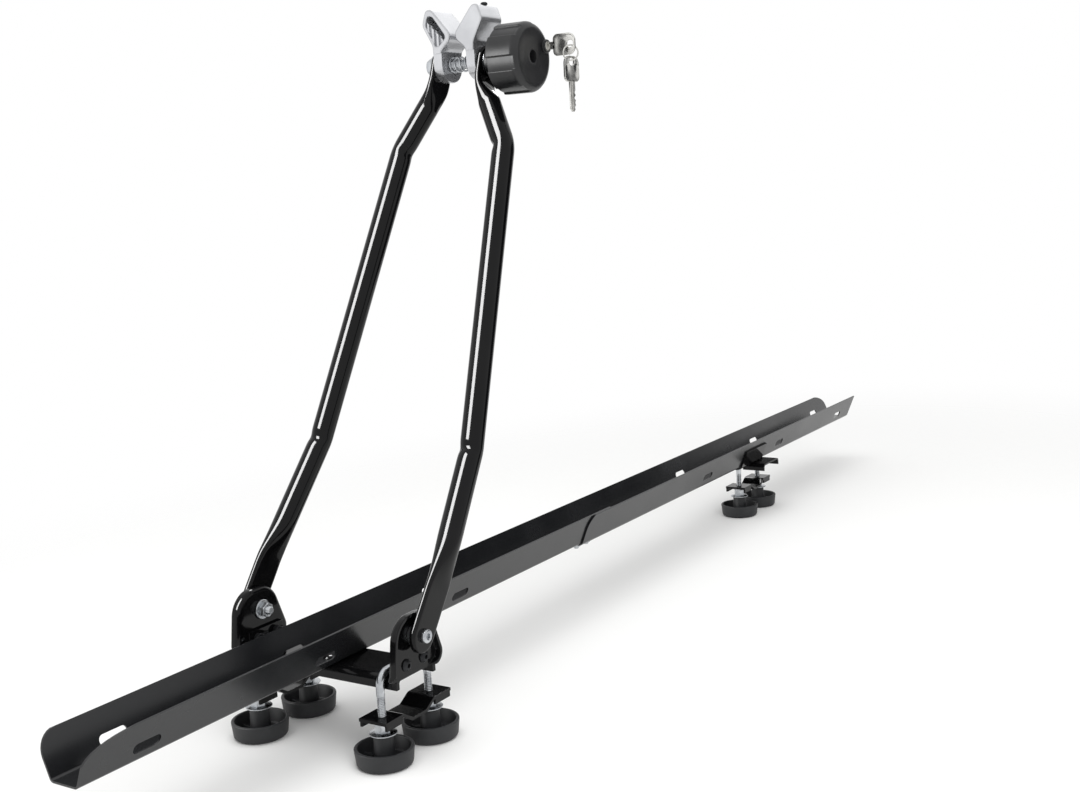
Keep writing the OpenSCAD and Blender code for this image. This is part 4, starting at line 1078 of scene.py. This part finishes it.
# studio
studioSet = dict(
    floorTone="#f7f7f6",
    floorSize=24.0,
    floorGap=0.0002,  # the paper lies just below the part
    floorMiddle=(0.05, 0.25),
    floorShape=(1.0, 0.6, 1.0),  # the paper is longer along the tray
    floorClear=(0.35, 0.95),  # distances between which the paper gives way to the surround
    ambient=0.66,  # share of the white surround that lights matt surfaces
    # a grey card stands to the right, behind the part, seen only in reflections: sides that face it stay dark
    card=dict(place=(0.85, 1.4, 0.42), aim=(0.0, 0.25, 0.3), size=(1.0, 0.95), tone="#3c3d3f"),
    lamps=[
        # two soft boxes shape the matt surfaces; the two strips draw white lines down the gloss enamel alone
        dict(name="topSoftbox", place=(0.2, -0.1, 1.9), aim=(0.0, 0.3, 0.0), size=(1.8, 1.8), watts=22,
             lights=None),
        dict(name="keySoftbox", place=(1.6, -1.0, 1.2), aim=(0.0, 0.2, 0.1), size=(1.0, 1.0), watts=14,
             lights=None),
        dict(name="highStrip", place=(-0.35, -0.98, 1.3), aim=(0.0, 0.12, 0.3), size=(0.78, 1.4), watts=165,
             lights=("frame_coat",)),
        dict(name="backStrip", place=(-0.75, 1.35, 1.2), aim=(0.0, 0.12, 0.3), size=(0.5, 1.2), watts=34,
             lights=("frame_coat",)),
        # the rest show only in the plastics and in the bright metals
        dict(name="sideStrip", place=(-0.75, -0.95, 0.5), aim=(0.0, 0.2, 0.3), size=(0.7, 0.9), watts=16,
             lights=("knob_plastic", "cup_plastic", "lock_body")),
        dict(name="leftBoard", place=(-0.75, -1.0, 0.42), aim=(0.0, 0.2, 0.3), size=(0.9, 1.1), watts=1.3,
             lights=("jaw_metal", "key_metal", "zinc")),
        dict(name="backBoard", place=(-0.2, 1.6, 0.95), aim=(0.0, 0.2, 0.45), size=(1.8, 1.2), watts=4.2,
             lights=("jaw_metal",)),
    ],
)


def facing(place, aim):
    # a frame at place whose third axis points away from aim
    back = unit(np.array(place) - np.array(aim))
    right = unit(np.cross([0, 0, 1], back) if abs(back[2]) < 0.98 else [1, 0, 0])
    return axesAt(right, np.cross(back, right), back, place)


def flatSheet(name, size, turn):
    # one four-sided face across the first two axes of a frame
    w, h = size[0] / 2, size[1] / 2
    corners = np.array([(-w, -h, 0, 1), (w, -h, 0, 1), (w, h, 0, 1), (-w, h, 0, 1)]) @ turn.T
    mesh = bpy.data.meshes.new(name)
    mesh.from_pydata(corners[:, :3].tolist(), [], [(0, 1, 2, 3)])
    return addObject(name, mesh)


def makeFloor(s):
    # matt white paper that thins out to nothing away from the part
    floorZ = cadBox[0][2] - s["floorGap"]
    floor = flatSheet("floor", (s["floorSize"], s["floorSize"]), axesAt(*np.eye(3), (0, 0, floorZ)))
    paper = bpy.data.materials.new("palePaper")
    tree = freshTree(paper)
    coords = addNode(tree, "TexCoord")
    offset = addNode(tree, "VectorMath", {"operation": "SUBTRACT", 1: (*s["floorMiddle"], floorZ)},
                     {0: (coords, "Object")})
    shaped = addNode(tree, "VectorMath", {"operation": "MULTIPLY", 1: s["floorShape"]},
                     {0: (offset, "Vector")})
    away = addNode(tree, "VectorMath", {"operation": "LENGTH"}, {0: (shaped, "Vector")})
    near, far = s["floorClear"]
    clear = addNode(tree, "MapRange", {"interpolation_type": "SMOOTHSTEP", "From Min": near, "From Max": far},
                    {"Value": (away, "Value")})
    matt = addNode(tree, "BsdfDiffuse", {"Color": linear(s["floorTone"])})
    nothing = addNode(tree, "BsdfTransparent")
    under = addNode(tree, "NewGeometry")  # seen from underneath, the paper is left out
    gone = addNode(tree, "Math", {"operation": "MAXIMUM"},
                   {0: (clear, "Result"), 1: (under, "Backfacing")})
    blend = addNode(tree, "MixShader", {}, {0: (gone, 0), 1: (matt, "BSDF"), 2: (nothing, "BSDF")})
    addNode(tree, "OutputMaterial", {}, {"Surface": (blend, "Shader")})
    floor.data.materials.append(paper)


def makeSurround(s):
    # white to the camera and in reflections, dimmer as the light on matt surfaces
    scene.world = bpy.data.worlds.new("whiteSurround")
    tree = freshTree(scene.world)
    ray = addNode(tree, "LightPath")
    seen = addNode(tree, "Math", {"operation": "MAXIMUM"},
                   {0: (ray, "Is Camera Ray"), 1: (ray, "Is Glossy Ray")})
    seen = addNode(tree, "Math", {"operation": "MAXIMUM"}, {0: (seen, 0), 1: (ray, "Is Transmission Ray")})
    level = addNode(tree, "MapRange", {"To Min": s["ambient"], "To Max": 1.0}, {"Value": (seen, 0)})
    sky = addNode(tree, "Background", {"Color": (1.0, 1.0, 1.0, 1.0)}, {"Strength": (level, "Result")})
    addNode(tree, "OutputWorld", {}, {"Surface": (sky, "Background")})


def makeLamp(lamp, pieces):
    # a rectangular lamp; one that names finishes lights only the pieces that have them, as a reflection
    data = bpy.data.lights.new(lamp["name"], "AREA")
    data.shape = "RECTANGLE"
    data.size, data.size_y = lamp["size"]
    data.energy = lamp["watts"]
    obj = addObject(lamp["name"], data)
    obj.matrix_world = Matrix(facing(lamp["place"], lamp["aim"]).tolist())
    obj.visible_camera = False
    obj.visible_diffuse = lamp["lights"] is None
    obj.visible_glossy = lamp["lights"] is not None
    if lamp["lights"]:
        lit = bpy.data.collections.new(lamp["name"] + "Lights")
        chosen = [finishes[slotName] for slotName in lamp["lights"]]
        for piece in pieces:
            if piece.data.materials[0] in chosen:
                lit.objects.link(piece)
        obj.light_linking.receiver_collection = lit


def makeCard(c):
    # an even grey sheet that only reflections see
    card = flatSheet("greyCard", c["size"], facing(c["place"], c["aim"]))
    grey = bpy.data.materials.new("greyCard")
    tree = freshTree(grey)
    tone = addNode(tree, "Emission", {"Color": linear(c["tone"])})
    addNode(tree, "OutputMaterial", {}, {"Surface": (tone, "Emission")})
    card.data.materials.append(grey)
    card.visible_camera = card.visible_diffuse = card.visible_shadow = False


makeFloor(studioSet)
makeSurround(studioSet)
pieces = [obj for obj in scene.objects if obj.type == "MESH" and obj.data.materials]
for lamp in studioSet["lamps"]:
    makeLamp(lamp, pieces)
makeCard(studioSet["card"])
scene.view_settings.view_transform = "Standard"
print("studio: floor, surround and", len(studioSet["lamps"]), "lamps")
